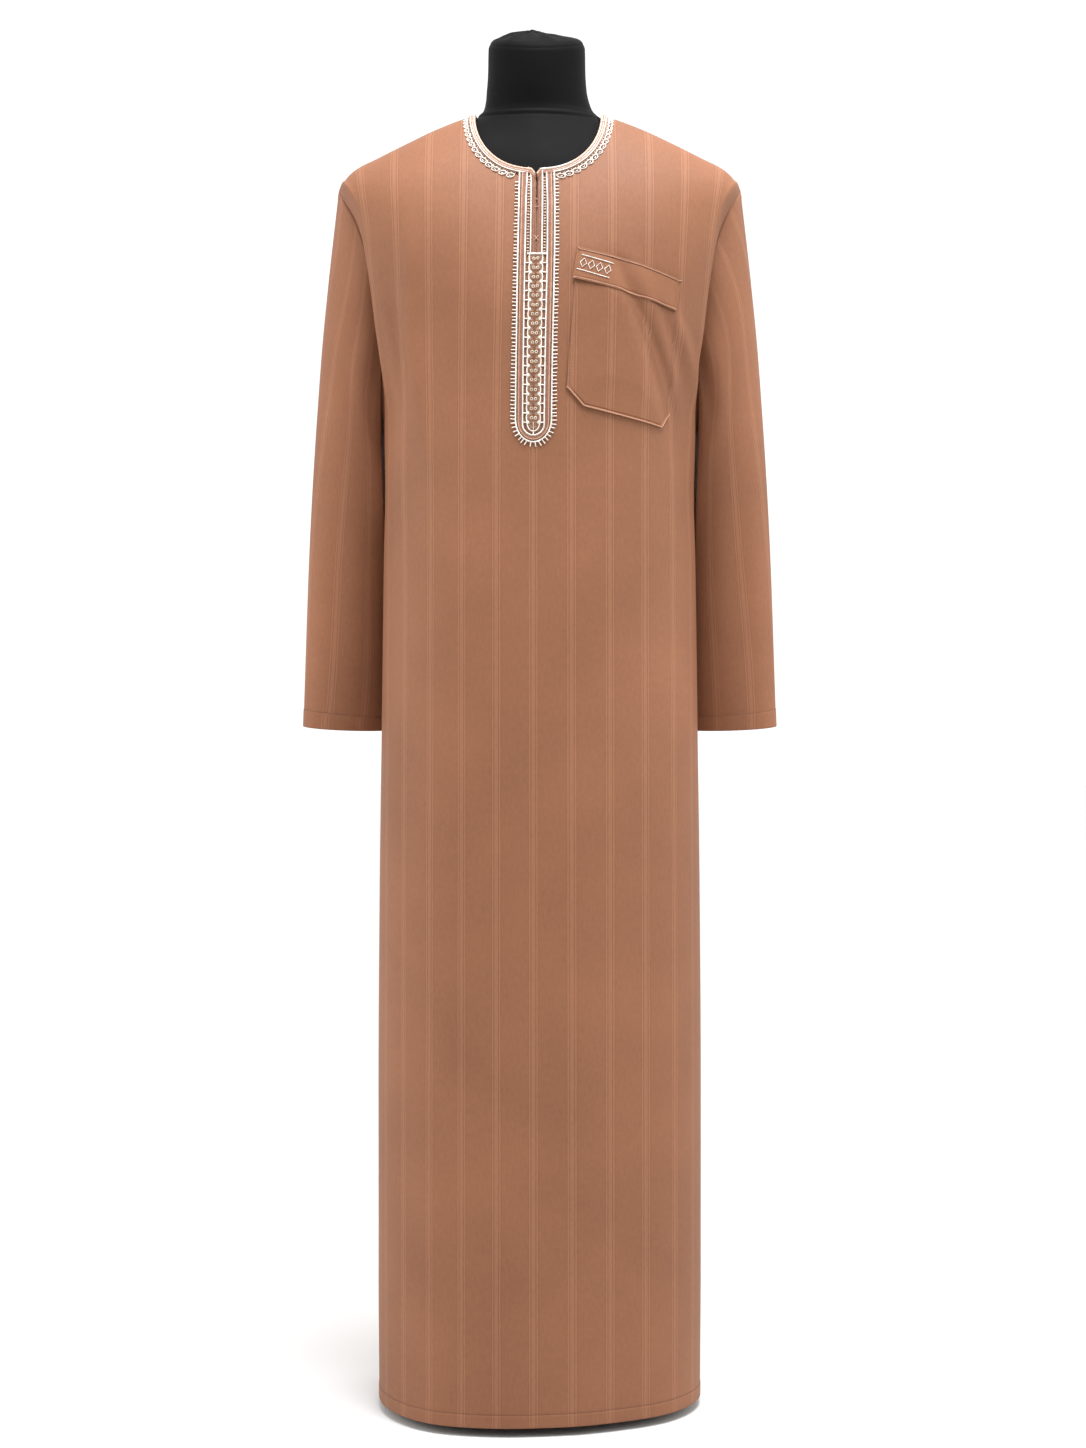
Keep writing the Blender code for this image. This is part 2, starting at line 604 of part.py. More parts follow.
def add_wall(name, points, faces, normals, thickness, finish):
    """A sheet given its thickness on the inside, closed along its border."""
    count = len(points)
    inner = points - normals * thickness
    shell = list(faces) + [tuple(i + count for i in face[::-1]) for face in faces]
    shell += [(b, a, a + count, b + count) for a, b in border(faces)]
    return add_object(name, hung(np.concatenate([points, inner])), shell, finish)


def add_robe(cloth):
    """Front, back and both sleeves, with the seams between them."""
    sheets = {"front": panel_sheet("front"), "back": panel_sheet("back")}
    body = tree_of(sheets["front"], sheets["back"])
    sheets["sleeve_left"] = sleeve_sheet(1, body)
    sheets["sleeve_right"] = sleeve_sheet(-1, body)
    normals = wall_normals(sheets)
    for name, (points, faces) in sheets.items():
        keep = np.zeros(len(points), bool)  # the border points that no seam draws in: the slit's and the cuffs'
        if name == "front":
            keep = (np.abs(points[:, 0]) < SLIT_GAP) & (points[:, 2] > SLIT_BOTTOM)
        if name.startswith("sleeve"):
            keep = points[:, 2] < SLEEVE[-2].inner_height
        drawn = drawn_in(points, faces, keep, SEAM_GAP / 2 + MITRE_SPARE)
        add_wall(name, drawn, faces, normals[name], CLOTH, cloth)
    return body, tree_of(*sheets.values())


def drawn_onto(body, out, back, height):
    """The nearest point of the robe's outer surface, and the surface's smoothed normal there."""
    nearest = body.find_nearest(Vector((out, back, height)))[0]
    normal = Vector()
    for step in SURFACE_STEPS:
        normal += body.find_nearest(nearest + Vector(step))[1]
    normal.normalize()
    return np.array(nearest), np.array(normal)


def add_strip(name, body, rows, lift, thickness, finish):
    """A flat piece laid on the robe. rows hold the places of its points, the same number in each."""
    made = [[drawn_onto(body, *place) for place in row] for row in rows]
    feet = np.array([p for row in made for p, _ in row])
    normals = np.array([n for row in made for _, n in row])
    feet, triangles = welded(feet, grid_faces(len(rows), len(rows[0])))
    lifts = raised_clear(body, feet, normals, triangles, lift)
    a, b, c = triangles[0]
    if np.cross(feet[b] - feet[a], feet[c] - feet[a]) @ normals[a] < 0:
        triangles = [t[::-1] for t in triangles]
    tops = feet + normals * (lifts + thickness)[:, None]
    return add_wall(name, tops, triangles, normals, thickness, finish)


def raised_clear(body, feet, normals, triangles, lift):
    """How far each point is lifted so that the piece clears the facets of the cloth between its points too."""
    lifts = np.full(len(feet), lift)
    edges = {tuple(sorted(pair)) for t in triangles for pair in zip(t, t[1:] + t[:1])}
    for _ in range(4):
        points = feet + normals * lifts[:, None]
        for a, b in edges:
            for share in (0.25, 0.5, 0.75):
                place = Vector(points[a] * (1 - share) + points[b] * share)
                nearest, normal, _, _ = body.find_nearest(place)
                short = lift * LEAST_LIFT - (place - nearest) @ normal
                if short > 0:
                    lifts[a] += short * (1 - share)
                    lifts[b] += short * share
    return lifts


def on_front(out, height):
    """A place just in front of the robe's front."""
    return out, -float(shell_depth(out, height, "front")), height


def add_neck_braid(body, finish):
    """The braid round the neckline, from one side of the slit round the back of the neck to the other side."""
    rows = []
    slit_turn = math.degrees(math.asin((SLIT_GAP / 2 / NECK_HALF_WIDTH) ** (NECK_SQUARENESS / 2)))
    front_turns = (slit_turn, *BRAID_FRONT_TURNS)
    stations = [("front", turn, 1) for turn in front_turns] + [("back", turn, 1) for turn in BRAID_BACK_TURNS]
    stations += [("back", 0, 1)] + [("back", turn, -1) for turn in reversed(BRAID_BACK_TURNS)]
    stations += [("front", turn, -1) for turn in reversed(front_turns)]
    for panel, turn, side in stations:
        row = []
        for across in np.linspace(BRAID_INSET, BRAID_WIDTH, 4):
            out, height = neckline(math.radians(turn), panel, across)
            sign = -1 if panel == "front" else 1
            row.append((side * float(out), sign * float(shell_depth(out, height, panel)), float(height)))
        rows.append(row)
    return add_strip("neck_braid", body, rows, TRIM_LIFT, BRAID_THICKNESS, finish)


def placket_outline(half_width, bottom, rounded):
    """Half of a U shape, from its middle at the bottom up one side, as out and height."""
    turns = np.linspace(0, math.pi / 2, ROUND_STEPS)
    foot = [(half_width * math.sin(turn), bottom + rounded * (1 - math.cos(turn))) for turn in turns]
    return foot + [(half_width, h) for h in np.linspace(bottom + rounded, PLACKET_TOP, PLACKET_STEPS + 1)[1:]]


def add_placket_braid(body, finish):
    """The U of satin bands and cord that runs down both sides of the slit and round below the rosettes."""
    outer = placket_outline(PLACKET_HALF_WIDTH, PLACKET_BOTTOM, OUTER_ROUND)
    inner = placket_outline(PLACKET_HALF_WIDTH - PLACKET_BAND, PLACKET_BOTTOM + PLACKET_BAND, INNER_ROUND)
    half = []
    for (out_a, low_a), (out_b, low_b) in zip(outer, inner):
        half.append([(out_a + (out_b - out_a) * k / 2, low_a + (low_b - low_a) * k / 2) for k in range(3)])
    rows = [[on_front(-out, height) for out, height in row] for row in reversed(half)]
    rows += [[on_front(out, height) for out, height in row] for row in half[1:]]
    return add_strip("placket_braid", body, rows, TRIM_LIFT, TRIM_THICKNESS, finish)


def add_rosette_panel(body, finish):
    """The strip of openwork rosettes below the slit, round at its foot."""
    half = PLACKET_HALF_WIDTH - PLACKET_BAND - ROSETTES_GAP
    foot = PLACKET_BOTTOM + PLACKET_BAND + ROSETTES_GAP
    rounded = INNER_ROUND - ROSETTES_GAP
    stations = [(foot + rounded * (1 - math.cos(turn)), math.sin(turn)) for turn in np.radians(ROSETTE_TURNS)]
    stations += [(height, 1.0) for height in np.linspace(foot + rounded, ROSETTES_TOP, PLACKET_STEPS)]
    rows = [[on_front(half * width * k, height) for k in (-1, -0.5, 0, 0.5, 1)] for height, width in stations]
    return add_strip("rosette_panel", body, rows, TRIM_LIFT, TRIM_THICKNESS, finish)


def pocket_rows(table, across):
    """Level rows of places across the pocket, between its left and right edges."""
    rows = []
    for row in table:
        places = np.linspace(0, 1, across + 1)
        rows.append([
            on_front(row.left_out + (row.right_out - row.left_out) * p,
                     row.left_height + (row.right_height - row.left_height) * p)
            for p in places
        ])
    return rows


def add_pocket(body, finish):
    """The slanted chest pocket with its bottom corners cut off, and the folded band along its mouth."""
    patch = pocket_rows(divided(POCKET, POCKET_STEP), POCKET_COLUMNS)
    add_strip("pocket", body, patch, TRIM_LIFT, TRIM_THICKNESS, finish)
    band = pocket_rows(divided(POCKET_BAND, BAND_STEP), BAND_COLUMNS)
    add_strip("pocket_band", body, band, TRIM_LIFT * 3 + TRIM_THICKNESS, TRIM_THICKNESS, finish)


def divided(table, most):
    """The pocket's rows with more between them, no further apart than most."""
    made = []
    for one, two in zip(table, table[1:]):
        count = math.ceil(max(abs(a - b) for a, b in zip(one, two)) / most)
        made += [PocketRow(*(a + (b - a) * k / count for a, b in zip(one, two))) for k in range(count)]
    return made + [table[-1]]


def form_chest_row(rise):
    """One half ring of the form's chest: along the front, round the flat armplate, and along the back."""
    seam_height = UNDERARM + (SHOULDER_TIP - UNDERARM) * rise
    width = HALF_COLUMNS - FLAP_COLUMNS + 1
    front, back = (chest_row(rise, panel)[:width] for panel in ("front", "back"))
    plate_out = float(smooth(ARMHOLE, "height", "seam_out", seam_height)) - ARMPLATE_INSET
    ahead = -ARMPLATE_SHARE * float(smooth(ARMHOLE, "height", "seam_front", seam_height))
    behind = ARMPLATE_SHARE * float(smooth(ARMHOLE, "height", "seam_back", seam_height))
    plate = np.array([(plate_out, back_way, seam_height) for back_way in (ahead, 0.0, behind)])
    return np.concatenate([front, plate, back[::-1]])


def form_section_row(section, count):
    """One level half ring of the form, with as many points as its chest has."""
    turn = np.pi * np.arange(count) / (count - 1)
    power = 2 / SQUARENESS
    side = np.sign(np.cos(turn)) * np.abs(np.cos(turn)) ** power
    depth = np.where(side > 0, -section.front, section.back) * np.abs(side)
    return np.stack([section.half_width * np.sin(turn) ** power, depth, np.full(count, section.height)], axis=1)


def both_sides(half):
    """A half ring mirrored into whole rings, as welded points and triangles."""
    rows, columns = half.shape[:2]
    faces = grid_faces(rows, columns)
    faces += [tuple(i + rows * columns for i in face[::-1]) for face in faces]
    points = np.concatenate([half.reshape(-1, 3), (half * np.array([-1, 1, 1])).reshape(-1, 3)])
    return welded(points, faces)


def vertex_normals(points, triangles):
    """Area-weighted normals of a sheet of triangles."""
    normals = np.zeros(points.shape)
    for t in triangles:
        a, b, c = points[list(t)]
        for i in t:
            normals[i] += np.cross(b - a, c - a)
    return normals / np.linalg.norm(normals, axis=1)[:, None]


def inside_robe(chest, robe):
    """The form's chest drawn in until it clears the robe's walls everywhere, between its points too."""
    rows, columns = chest.shape[:2]
    points, triangles = both_sides(chest)
    normals = vertex_normals(points, triangles)
    on_centre = np.abs(points[:, 0]) < 1e-7
    normals[on_centre, 0] = 0
    depth = np.full(len(points), FORM_CLEARANCE)
    edges = {tuple(sorted(pair)) for t in triangles for pair in zip(t, t[1:] + t[:1])}
    for _ in range(6):
        moved = points - normals * depth[:, None]
        for a, b in edges:
            for share in (0, 0.5, 1):
                place = Vector(moved[a] * (1 - share) + moved[b] * share)
                short = FORM_CLEARANCE - robe.find_nearest(place)[3]
                if short > 0:
                    depth[a] += short * (1 - share)
                    depth[b] += short * share
    drawn = {tuple(np.round(p / MERGED).astype(int)): q for p, q in zip(points, points - normals * depth[:, None])}
    inner = [drawn[tuple(np.round(p / MERGED).astype(int))] for p in chest.reshape(-1, 3)]
    return np.array(inner).reshape(rows, columns, 3)


def shifted(points):
    """Places of the form's neck, moved to the side it stands on."""
    moved = points.copy()
    moved[:, 0] += NECK_SHIFT * np.clip((points[:, 2] - NECK[0].height) / NECK_SHIFT_RISE, 0, 1)
    return moved


def add_form(robe, finish):
    """The form's chest and neck as one closed body, a little inside the robe it carries."""
    dense = np.array([form_chest_row(rise) for rise in chest_rises()])
    columns = [even(dense[:, c], CHEST_ROWS) for c in range(dense.shape[1])]
    chest = np.stack(columns, axis=1)
    count = chest.shape[1]
    inner = inside_robe(chest, robe)
    lower = [form_section_row(section, count) for section in FORM]
    torso = np.concatenate([np.array(lower), inner])
    neck_columns = list(range(NECK_COLUMNS + 1)) + list(range(count - NECK_COLUMNS - 1, count))
    base = inner[-1, neck_columns]
    angle = np.arctan2(base[:, 0] / NECK[0].half_width, -base[:, 1] / NECK[0].front)
    angle[0], angle[-1] = 0, math.pi
    neck = [base]
    for section in NECK:
        back = -np.where(np.cos(angle) > 0, section.front, section.back) * np.cos(angle)
        height = section.height + section.lean * back
        neck.append(np.stack([section.half_width * np.sin(angle), back, height], axis=1))
    neck.append(np.tile([0, 0, NECK[-1].height], (len(angle), 1)))
    torso_points, torso_faces = both_sides(torso)
    neck_points, neck_faces = both_sides(np.array(neck))
    neck_points = shifted(neck_points)
    foot = np.stack([torso[0] * np.array([0, 0, 1]), torso[0]])
    foot_points, foot_faces = both_sides(foot)
    points = np.concatenate([torso_points, neck_points, foot_points])
    faces = list(torso_faces)
    faces += [tuple(i + len(torso_points) for i in t) for t in neck_faces]
    faces += [tuple(i + len(torso_points) + len(neck_points) for i in t) for t in foot_faces]
    points, faces = welded(points, faces)
    return add_object("form_body", hung(points), faces, finish)


def turned(profile, segments, ripple=0.0):
    """A body of revolution from (radius, height) pairs, bottom to top, closed on the axis. A ripple gathers it."""
    angle = 2 * math.pi * np.arange(segments + 1) / segments
    angle[-1] = 0
    rings = []
    for radius, height in profile:
        grown = radius * (1 + ripple * np.cos(CAP_FOLDS * angle))
        rings.append(np.stack([grown * np.cos(angle), grown * np.sin(angle), np.full(len(angle), height)], axis=1))
    return welded(np.concatenate(rings), grid_faces(len(rings), segments + 1))


def add_stand(cover, steel):
    """The gathered cap on the neck, and the pole and base plate below."""
    points, faces = turned(CAP, CAP_SEGMENTS, CAP_RIPPLE)
    points[:, 2] += NECK[-1].height + SEAM_GAP + NECK[-1].lean * points[:, 1]
    add_object("form_cap", hung(shifted(points)), faces, cover)
    boss_top = BASE_THICKNESS + BOSS_HEIGHT
    base = ((0, 0), (BASE_RADIUS - BASE_CHAMFER, 0), (BASE_RADIUS, BASE_CHAMFER),
            (BASE_RADIUS, BASE_THICKNESS - BASE_CHAMFER), (BASE_RADIUS - BASE_CHAMFER, BASE_THICKNESS),
            (BOSS_FOOT_RADIUS, BASE_THICKNESS), (BOSS_TOP_RADIUS, boss_top), (0, boss_top))
    points, faces = turned(base, BASE_SEGMENTS)
    add_object("form_base", points, faces, steel)
    pole_top = FORM[0].height + HEM_CLEARANCE - SEAM_GAP
    pole = ((0, boss_top + SEAM_GAP), (POLE_RADIUS, boss_top + SEAM_GAP), (POLE_RADIUS, pole_top), (0, pole_top))
    points, faces = turned(pole, POLE_SEGMENTS)
    add_object("form_pole", points, faces, steel)


def main():
    for old in list(bpy.data.objects):
        bpy.data.objects.remove(old)
    cloth = material("robe_cloth", (0.36, 0.16, 0.09), 0.75)
    white = material("white_thread", (0.80, 0.74, 0.68), 0.6)
    brown = material("brown_braid", (0.30, 0.13, 0.07), 0.6)
    black = material("black_jersey", (0.014, 0.012, 0.012), 0.85)
    steel = material("painted_steel", (0.02, 0.02, 0.022), 0.4, metallic=0.6)
    body, robe = add_robe(cloth)
    add_neck_braid(body, brown)
    add_placket_braid(body, brown)
    add_rosette_panel(body, white)
    add_pocket(body, cloth)
    add_form(robe, black)
    add_stand(black, steel)


main()
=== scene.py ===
import math
from collections import namedtuple

import bpy
import numpy as np
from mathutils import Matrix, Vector
from mathutils.bvhtree import BVHTree


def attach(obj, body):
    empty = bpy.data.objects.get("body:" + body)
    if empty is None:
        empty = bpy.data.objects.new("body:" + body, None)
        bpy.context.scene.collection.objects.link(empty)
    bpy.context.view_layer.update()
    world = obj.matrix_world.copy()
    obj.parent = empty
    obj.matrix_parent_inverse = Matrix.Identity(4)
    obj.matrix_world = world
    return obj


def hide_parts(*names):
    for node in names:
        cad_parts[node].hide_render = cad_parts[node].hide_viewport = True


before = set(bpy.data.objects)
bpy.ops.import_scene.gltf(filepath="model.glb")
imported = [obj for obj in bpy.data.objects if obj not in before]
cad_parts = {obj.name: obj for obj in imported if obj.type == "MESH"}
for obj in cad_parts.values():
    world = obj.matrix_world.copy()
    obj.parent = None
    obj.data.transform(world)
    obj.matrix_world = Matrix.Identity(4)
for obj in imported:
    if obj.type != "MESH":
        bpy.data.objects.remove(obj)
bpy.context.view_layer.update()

# Camera, light and floor.
# The camera stands level, 2.9 m in front of the robe and half its height up, as the curve of the hem shows.
# A large soft light hangs over the front, a weaker one fills from each side, and the floor is pale, with a
# painted shade near the robe that evens out the lamps there.

CAMERA_PLACE = (0.0037, -2.9, 0.770)
CAMERA_LENS = 63.25

bpy.ops.object.select_all(action="DESELECT")
bpy.ops.object.camera_add(location=CAMERA_PLACE, rotation=(math.radians(90), 0, 0))
camera = bpy.context.object
camera.name = "photo_camera"
camera.data.lens = CAMERA_LENS
bpy.context.scene.camera = camera

COOL, WARM = (0.975, 1.0, 1.045), (1.0, 0.93, 0.84)  # the tints of the lamps


def named_rows(columns, *rows):
    """A table with named columns."""
    row = namedtuple("Row", columns)
    return [row(*values) for values in rows]


LAMPS = named_rows(
    "name place aim size power tint",
    ("softbox_above", (0.32, -0.78, 3.4), (0, 0, 1.2), 1.3, 138, COOL),
    ("fill_right", (-3.0, -0.85, 1.5), (0, 0, 0.8), 1.8, 49, WARM),
    ("fill_left", (3.0, -0.85, 1.5), (0, 0, 0.8), 1.8, 38, WARM),
    ("rim_right", (-2.2, 1.1, 1.5), (0, 0, 0.8), 1.6, 6, WARM),
    ("rim_left", (2.2, 1.1, 1.5), (0, 0, 0.8), 1.6, 6, WARM),
)
for lamp in LAMPS:
    turned = (Vector(lamp.aim) - Vector(lamp.place)).to_track_quat("-Z", "Y").to_euler()
    bpy.ops.object.light_add(type="AREA", location=lamp.place, rotation=turned)
    light = bpy.context.object
    light.name = lamp.name
    light.data.size = lamp.size
    light.data.energy = lamp.power
    light.data.color = lamp.tint

WORLD_STRENGTH = 1.10
FRONT_STRENGTH = 0.45  # the studio is darker behind the camera
FRONT_FROM, FRONT_TO = -0.95, -0.30  # the directions between which it grows lighter, as their Y
bpy.context.scene.view_settings.view_transform = "Standard"
world = bpy.data.worlds.new("pale_studio")
bpy.context.scene.world = world
world.use_nodes = True
sky = world.node_tree
background = sky.nodes["Background"]
background.inputs["Color"].default_value = (1.0, 1.0, 1.0, 1)
direction = sky.nodes.new("ShaderNodeTexCoord")
direction_parts = sky.nodes.new("ShaderNodeSeparateXYZ")
front_share = sky.nodes.new("ShaderNodeMapRange")
front_share.interpolation_type = "SMOOTHSTEP"
for key, value in (("From Min", FRONT_FROM), ("From Max", FRONT_TO), ("To Min", FRONT_STRENGTH),
                   ("To Max", WORLD_STRENGTH)):
    front_share.inputs[key].default_value = value
seen = sky.nodes.new("ShaderNodeLightPath")  # the backdrop itself is white from every side
seen_strength = sky.nodes.new("ShaderNodeMath")
seen_strength.operation = "MAXIMUM"
for output, socket in ((direction.outputs["Generated"], direction_parts.inputs[0]),
                       (direction_parts.outputs["Y"], front_share.inputs["Value"]),
                       (front_share.outputs[0], seen_strength.inputs[0]),
                       (seen.outputs["Is Camera Ray"], seen_strength.inputs[1]),
                       (seen_strength.outputs[0], background.inputs["Strength"])):
    sky.links.new(output, socket)


class Value:
    """A socket of a finish's nodes. Arithmetic on it adds Math nodes."""

    def __init__(self, finish, socket):
        self.finish = finish
        self.socket = socket

    def other(self, name):
        """Another output of the same node, by its name."""
        return Value(self.finish, self.socket.node.outputs[name])

    def math(self, operation, *operands):
        return self.finish.node("ShaderNodeMath", {"operation": operation}, dict(enumerate(operands)))

    def __add__(self, other):
        return self.math("ADD", self, other)

    def __radd__(self, other):
        return self.math("ADD", other, self)

    def __sub__(self, other):
        return self.math("SUBTRACT", self, other)

    def __rsub__(self, other):
        return self.math("SUBTRACT", other, self)

    def __mul__(self, other):
        return self.math("MULTIPLY", self, other)

    def __rmul__(self, other):
        return self.math("MULTIPLY", other, self)

    def __truediv__(self, other):
        return self.math("DIVIDE", self, other)

    def __abs__(self):
        return self.math("ABSOLUTE", self)

    def wrapped(self, period):
        """The value brought between minus and plus half a period."""
        return self.math("WRAP", self, period / 2, -period / 2)

    def at_least(self, low):
        return self.math("MAXIMUM", self, low)

    def wave(self):
        """The sine of the value."""
        return self.math("SINE", self)

    def clipped(self, low, high, out_low=0.0, out_high=1.0):
        """The value carried from one range to another, held inside it, with soft ends."""
        settings = {"interpolation_type": "SMOOTHSTEP"}
        return self.finish.node("ShaderNodeMapRange", settings, {
            "Value": self, "From Min": low, "From Max": high, "To Min": out_low, "To Max": out_high})


class Finish:
    """One material and the nodes behind its Principled shader."""

    def __init__(self, name, **constants):
        self.material = bpy.data.materials.new(name)
        self.material.use_nodes = True
        self.tree = self.material.node_tree
        self.shader = self.tree.nodes["Principled BSDF"]
        for key, constant in constants.items():
            self.put(self.shader.inputs[key.replace("_", " ")], constant)

    def put(self, socket, value):
        if isinstance(value, Value):
            self.tree.links.new(value.socket, socket)
        elif socket.type == "RGBA":
            socket.default_value = (*value, 1) if hasattr(value, "__len__") else (value, value, value, 1)
        else:
            socket.default_value = value

    def node(self, kind, settings=None, values=None):
        """A new node's first output. Its settings come first, then the values or links of its sockets."""
        made = self.tree.nodes.new(kind)
        for key, setting in (settings or {}).items():
            if key == "stops":
                self.set_stops(made.color_ramp, setting)
            else:
                setattr(made, key, setting)
        for key, value in (values or {}).items():
            self.put(made.inputs[key], value)
        return Value(self, made.outputs[0])

    def set_stops(self, ramp, stops):
        while len(ramp.elements) < len(stops):
            ramp.elements.new(1.0)
        for element, (place, grey) in zip(ramp.elements, stops):
            element.position = place
            element.color = (grey, grey, grey, 1)

    def place(self):
        """Where a point of the piece is, in metres."""
        return self.node("ShaderNodeTexCoord").other("Object")

    def along(self, name="UVMap"):
        """Where a point is on the flat cloth, in metres."""
        return self.node("ShaderNodeUVMap", {"uv_map": name})

    def noise(self, vector, scale, detail=2.0, roughness=0.5):
        return self.node("ShaderNodeTexNoise", None, {
            "Vector": vector, "Scale": scale, "Detail": detail, "Roughness": roughness})

    def stretched(self, vector, x, y, z=1.0):
        """The vector with each axis multiplied."""
        return self.node("ShaderNodeVectorMath", {"operation": "MULTIPLY"}, {0: vector, 1: (x, y, z)})

    def split(self, vector):
        parts = self.node("ShaderNodeSeparateXYZ", None, {0: vector})
        return parts, parts.other("Y"), parts.other("Z")

    def mixed(self, share, one, two):
        """One colour, or the other where share is 1."""
        made = self.node("ShaderNodeMix", {"data_type": "RGBA"}, {0: share, 6: one, 7: two})
        return Value(self, made.socket.node.outputs[2])

    def colour(self, value):
        self.put(self.shader.inputs["Base Color"], value)

    def rough(self, value):
        self.put(self.shader.inputs["Roughness"], value)

    def bump(self, height, distance, strength=1.0):
        """Raises the surface by a height of 0 to 1 times the distance in metres."""
        raised = {"Height": height, "Distance": distance, "Strength": strength}
        self.put(self.shader.inputs["Normal"], self.node("ShaderNodeBump", None, raised))


def give(piece, finish):
    """Gives the piece its finish, as its only material, and attaches it to the root body."""
    piece.data.materials.clear()
    piece.data.materials.append(finish.material)
    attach(piece, "root")


FLOOR_SIZE = 60.0
FLOOR_NEAR, FLOOR_FAR = 1.2, 7.5  # a painted shade: the floor is painted a little darker near the robe, where the lamps are bright
FLOOR_PAINTED_SHADE_GREY, FLOOR_PALE = (0.66, 0.66, 0.66), (0.99, 0.99, 0.99)
# The grey near the robe is painted shade that fades out with distance, and further off the floor is pale.
floor_paint = Finish("pale_floor_painted_shade", Roughness=0.85)
floor_distance = floor_paint.node("ShaderNodeVectorMath", {"operation": "LENGTH"}, {0: floor_paint.place()})
floor_painted_shade_fade = floor_distance.other("Value").clipped(FLOOR_NEAR, FLOOR_FAR)
floor_paint.colour(floor_paint.mixed(floor_painted_shade_fade, FLOOR_PAINTED_SHADE_GREY, FLOOR_PALE))
bpy.ops.mesh.primitive_plane_add(size=FLOOR_SIZE)
floor = bpy.context.object
floor.name = "floor"
floor.data.materials.append(floor_paint.material)

# The robe's front and back.
# Each is one panel of light caramel twill with tone-on-tone stripes woven 41 mm apart, sewn at the shoulders
# and sides and turned up 14 mm at the hem. It is cut as a flat grid and laid over the chest and back of the
# form.

HEM_CLEARANCE = 0.010  # the hem hangs this far above the floor, and heights below are measured up from it
UNDERARM = 1.110
SHOULDER_TIP = 1.3675  # top of the armhole seam
NECK_HALF_WIDTH = 0.0707
NECK_DROP = {"front": 0.0792, "back": 0.018}
NECK_SQUARENESS = 2.3
NECK_WIDENING = 0.85  # the neckline's drop grows by this much for each metre that it widens
SQUARENESS = 2.2  # 2 would make each body section an ellipse
WAY = {"front": -1, "back": 1}  # the way along Y that a panel faces
SEAM_GAP = 0.0003
CLOTH = 0.0012
FAN = 1.5  # the rows of the chest fan out to the shoulder by this power of their rise
ROLL = {"front": 0.300, "back": 0.220}  # height over which the cloth turns from upright to level at the neck
ROLL_LOSS = 0.85  # the roll gets shorter by this much for each metre out towards the shoulder tip
NECK_ROOT_HALF_WIDTH = 0.066
NECK_ROOT_DEPTH = 0.060
FLAP_BULGE = 0.22  # the cloth runs on past its ridge by this share of the way in to the armhole's seam
SLIT_BOTTOM = 1.322
SLIT_GAP = 0.0014
HEM_TURNED = 0.014
HEM_PROUD = 0.0005  # the turned-up cloth stands out this far
HEM_MARGIN, HEM_EDGE = 0.0006, 0.0008  # it ends this far above its stitches, and sinks in over this height
STITCH_DRAWN, STITCH_GROOVE = 0.0004, 0.0007  # the stitches draw the cloth in by this much, this far each way
NOTCH = 0.0062  # the corners of the slit are turned back this far below the neckline
NOTCH_FOOT = 1.3500

SHOULDER_LINE = named_rows(
    "out height",
    (0.0000, 1.4605),
    (0.0736, 1.4505),
    (0.1147, 1.4362),
    (0.1489, 1.4203),
    (0.1831, 1.4035),
    (0.2105, 1.3895),
    (0.2241, 1.3755),
    (0.2310, 1.3628),
    (0.2344, 1.3492),
)
BODY = named_rows(
    "height half_width front back",
    (0.0000, 0.1822, 0.1550, 0.1430),
    (0.1505, 0.1833, 0.1545, 0.1420),
    (0.3330, 0.1833, 0.1530, 0.1400),
    (0.5610, 0.1821, 0.1500, 0.1370),
    (0.7430, 0.1798, 0.1460, 0.1340),
    (0.9485, 0.1770, 0.1420, 0.1310),
    (1.0170, 0.1755, 0.1400, 0.1300),
    (UNDERARM, 0.1773, 0.1365, 0.1280),
    (1.2000, 0.1773, 0.1345, 0.1240),
    (1.4505, 0.1773, 0.1330, 0.1160),
)
ARMHOLE = named_rows(
    "height seam_out seam_front seam_back ridge_out reach",
    (UNDERARM, 0.1773, 0.000, 0.000, 0.1694, 0.1773),
    (1.1540, 0.1760, 0.012, 0.014, 0.1765, 0.188),
    (1.1990, 0.1775, 0.024, 0.028, 0.1830, 0.198),
    (1.2450, 0.1830, 0.034, 0.040, 0.1885, 0.207),
    (1.2850, 0.1935, 0.040, 0.045, 0.1946, 0.216),
    (1.3270, 0.2075, 0.034, 0.038, 0.2018, 0.226),
    (1.3545, 0.2225, 0.020, 0.022, 0.2135, 0.236),
    (SHOULDER_TIP, 0.2290, 0.000, 0.000, 0.2225, 0.240),
)
# The centre front hangs to the wearer's right by this much at each height, less towards the sides and the back.
HANG = named_rows(
    "height shift",
    (0.000, -0.0066),
    (1.060, -0.0070),
    (1.360, -0.0031),
    (1.550, -0.0030),
)
HANG_REACH = 0.165  # sideways it fades out by this far from the centre
HANG_DEPTH = 0.12  # and from the front to the back over this depth
FRONT_LEAN = 0.12  # below the chest the front stands out more on the wearer's right than on the left
FRONT_LEAN_TOP = 1.250
FRONT_LEAN_FADE = 0.400

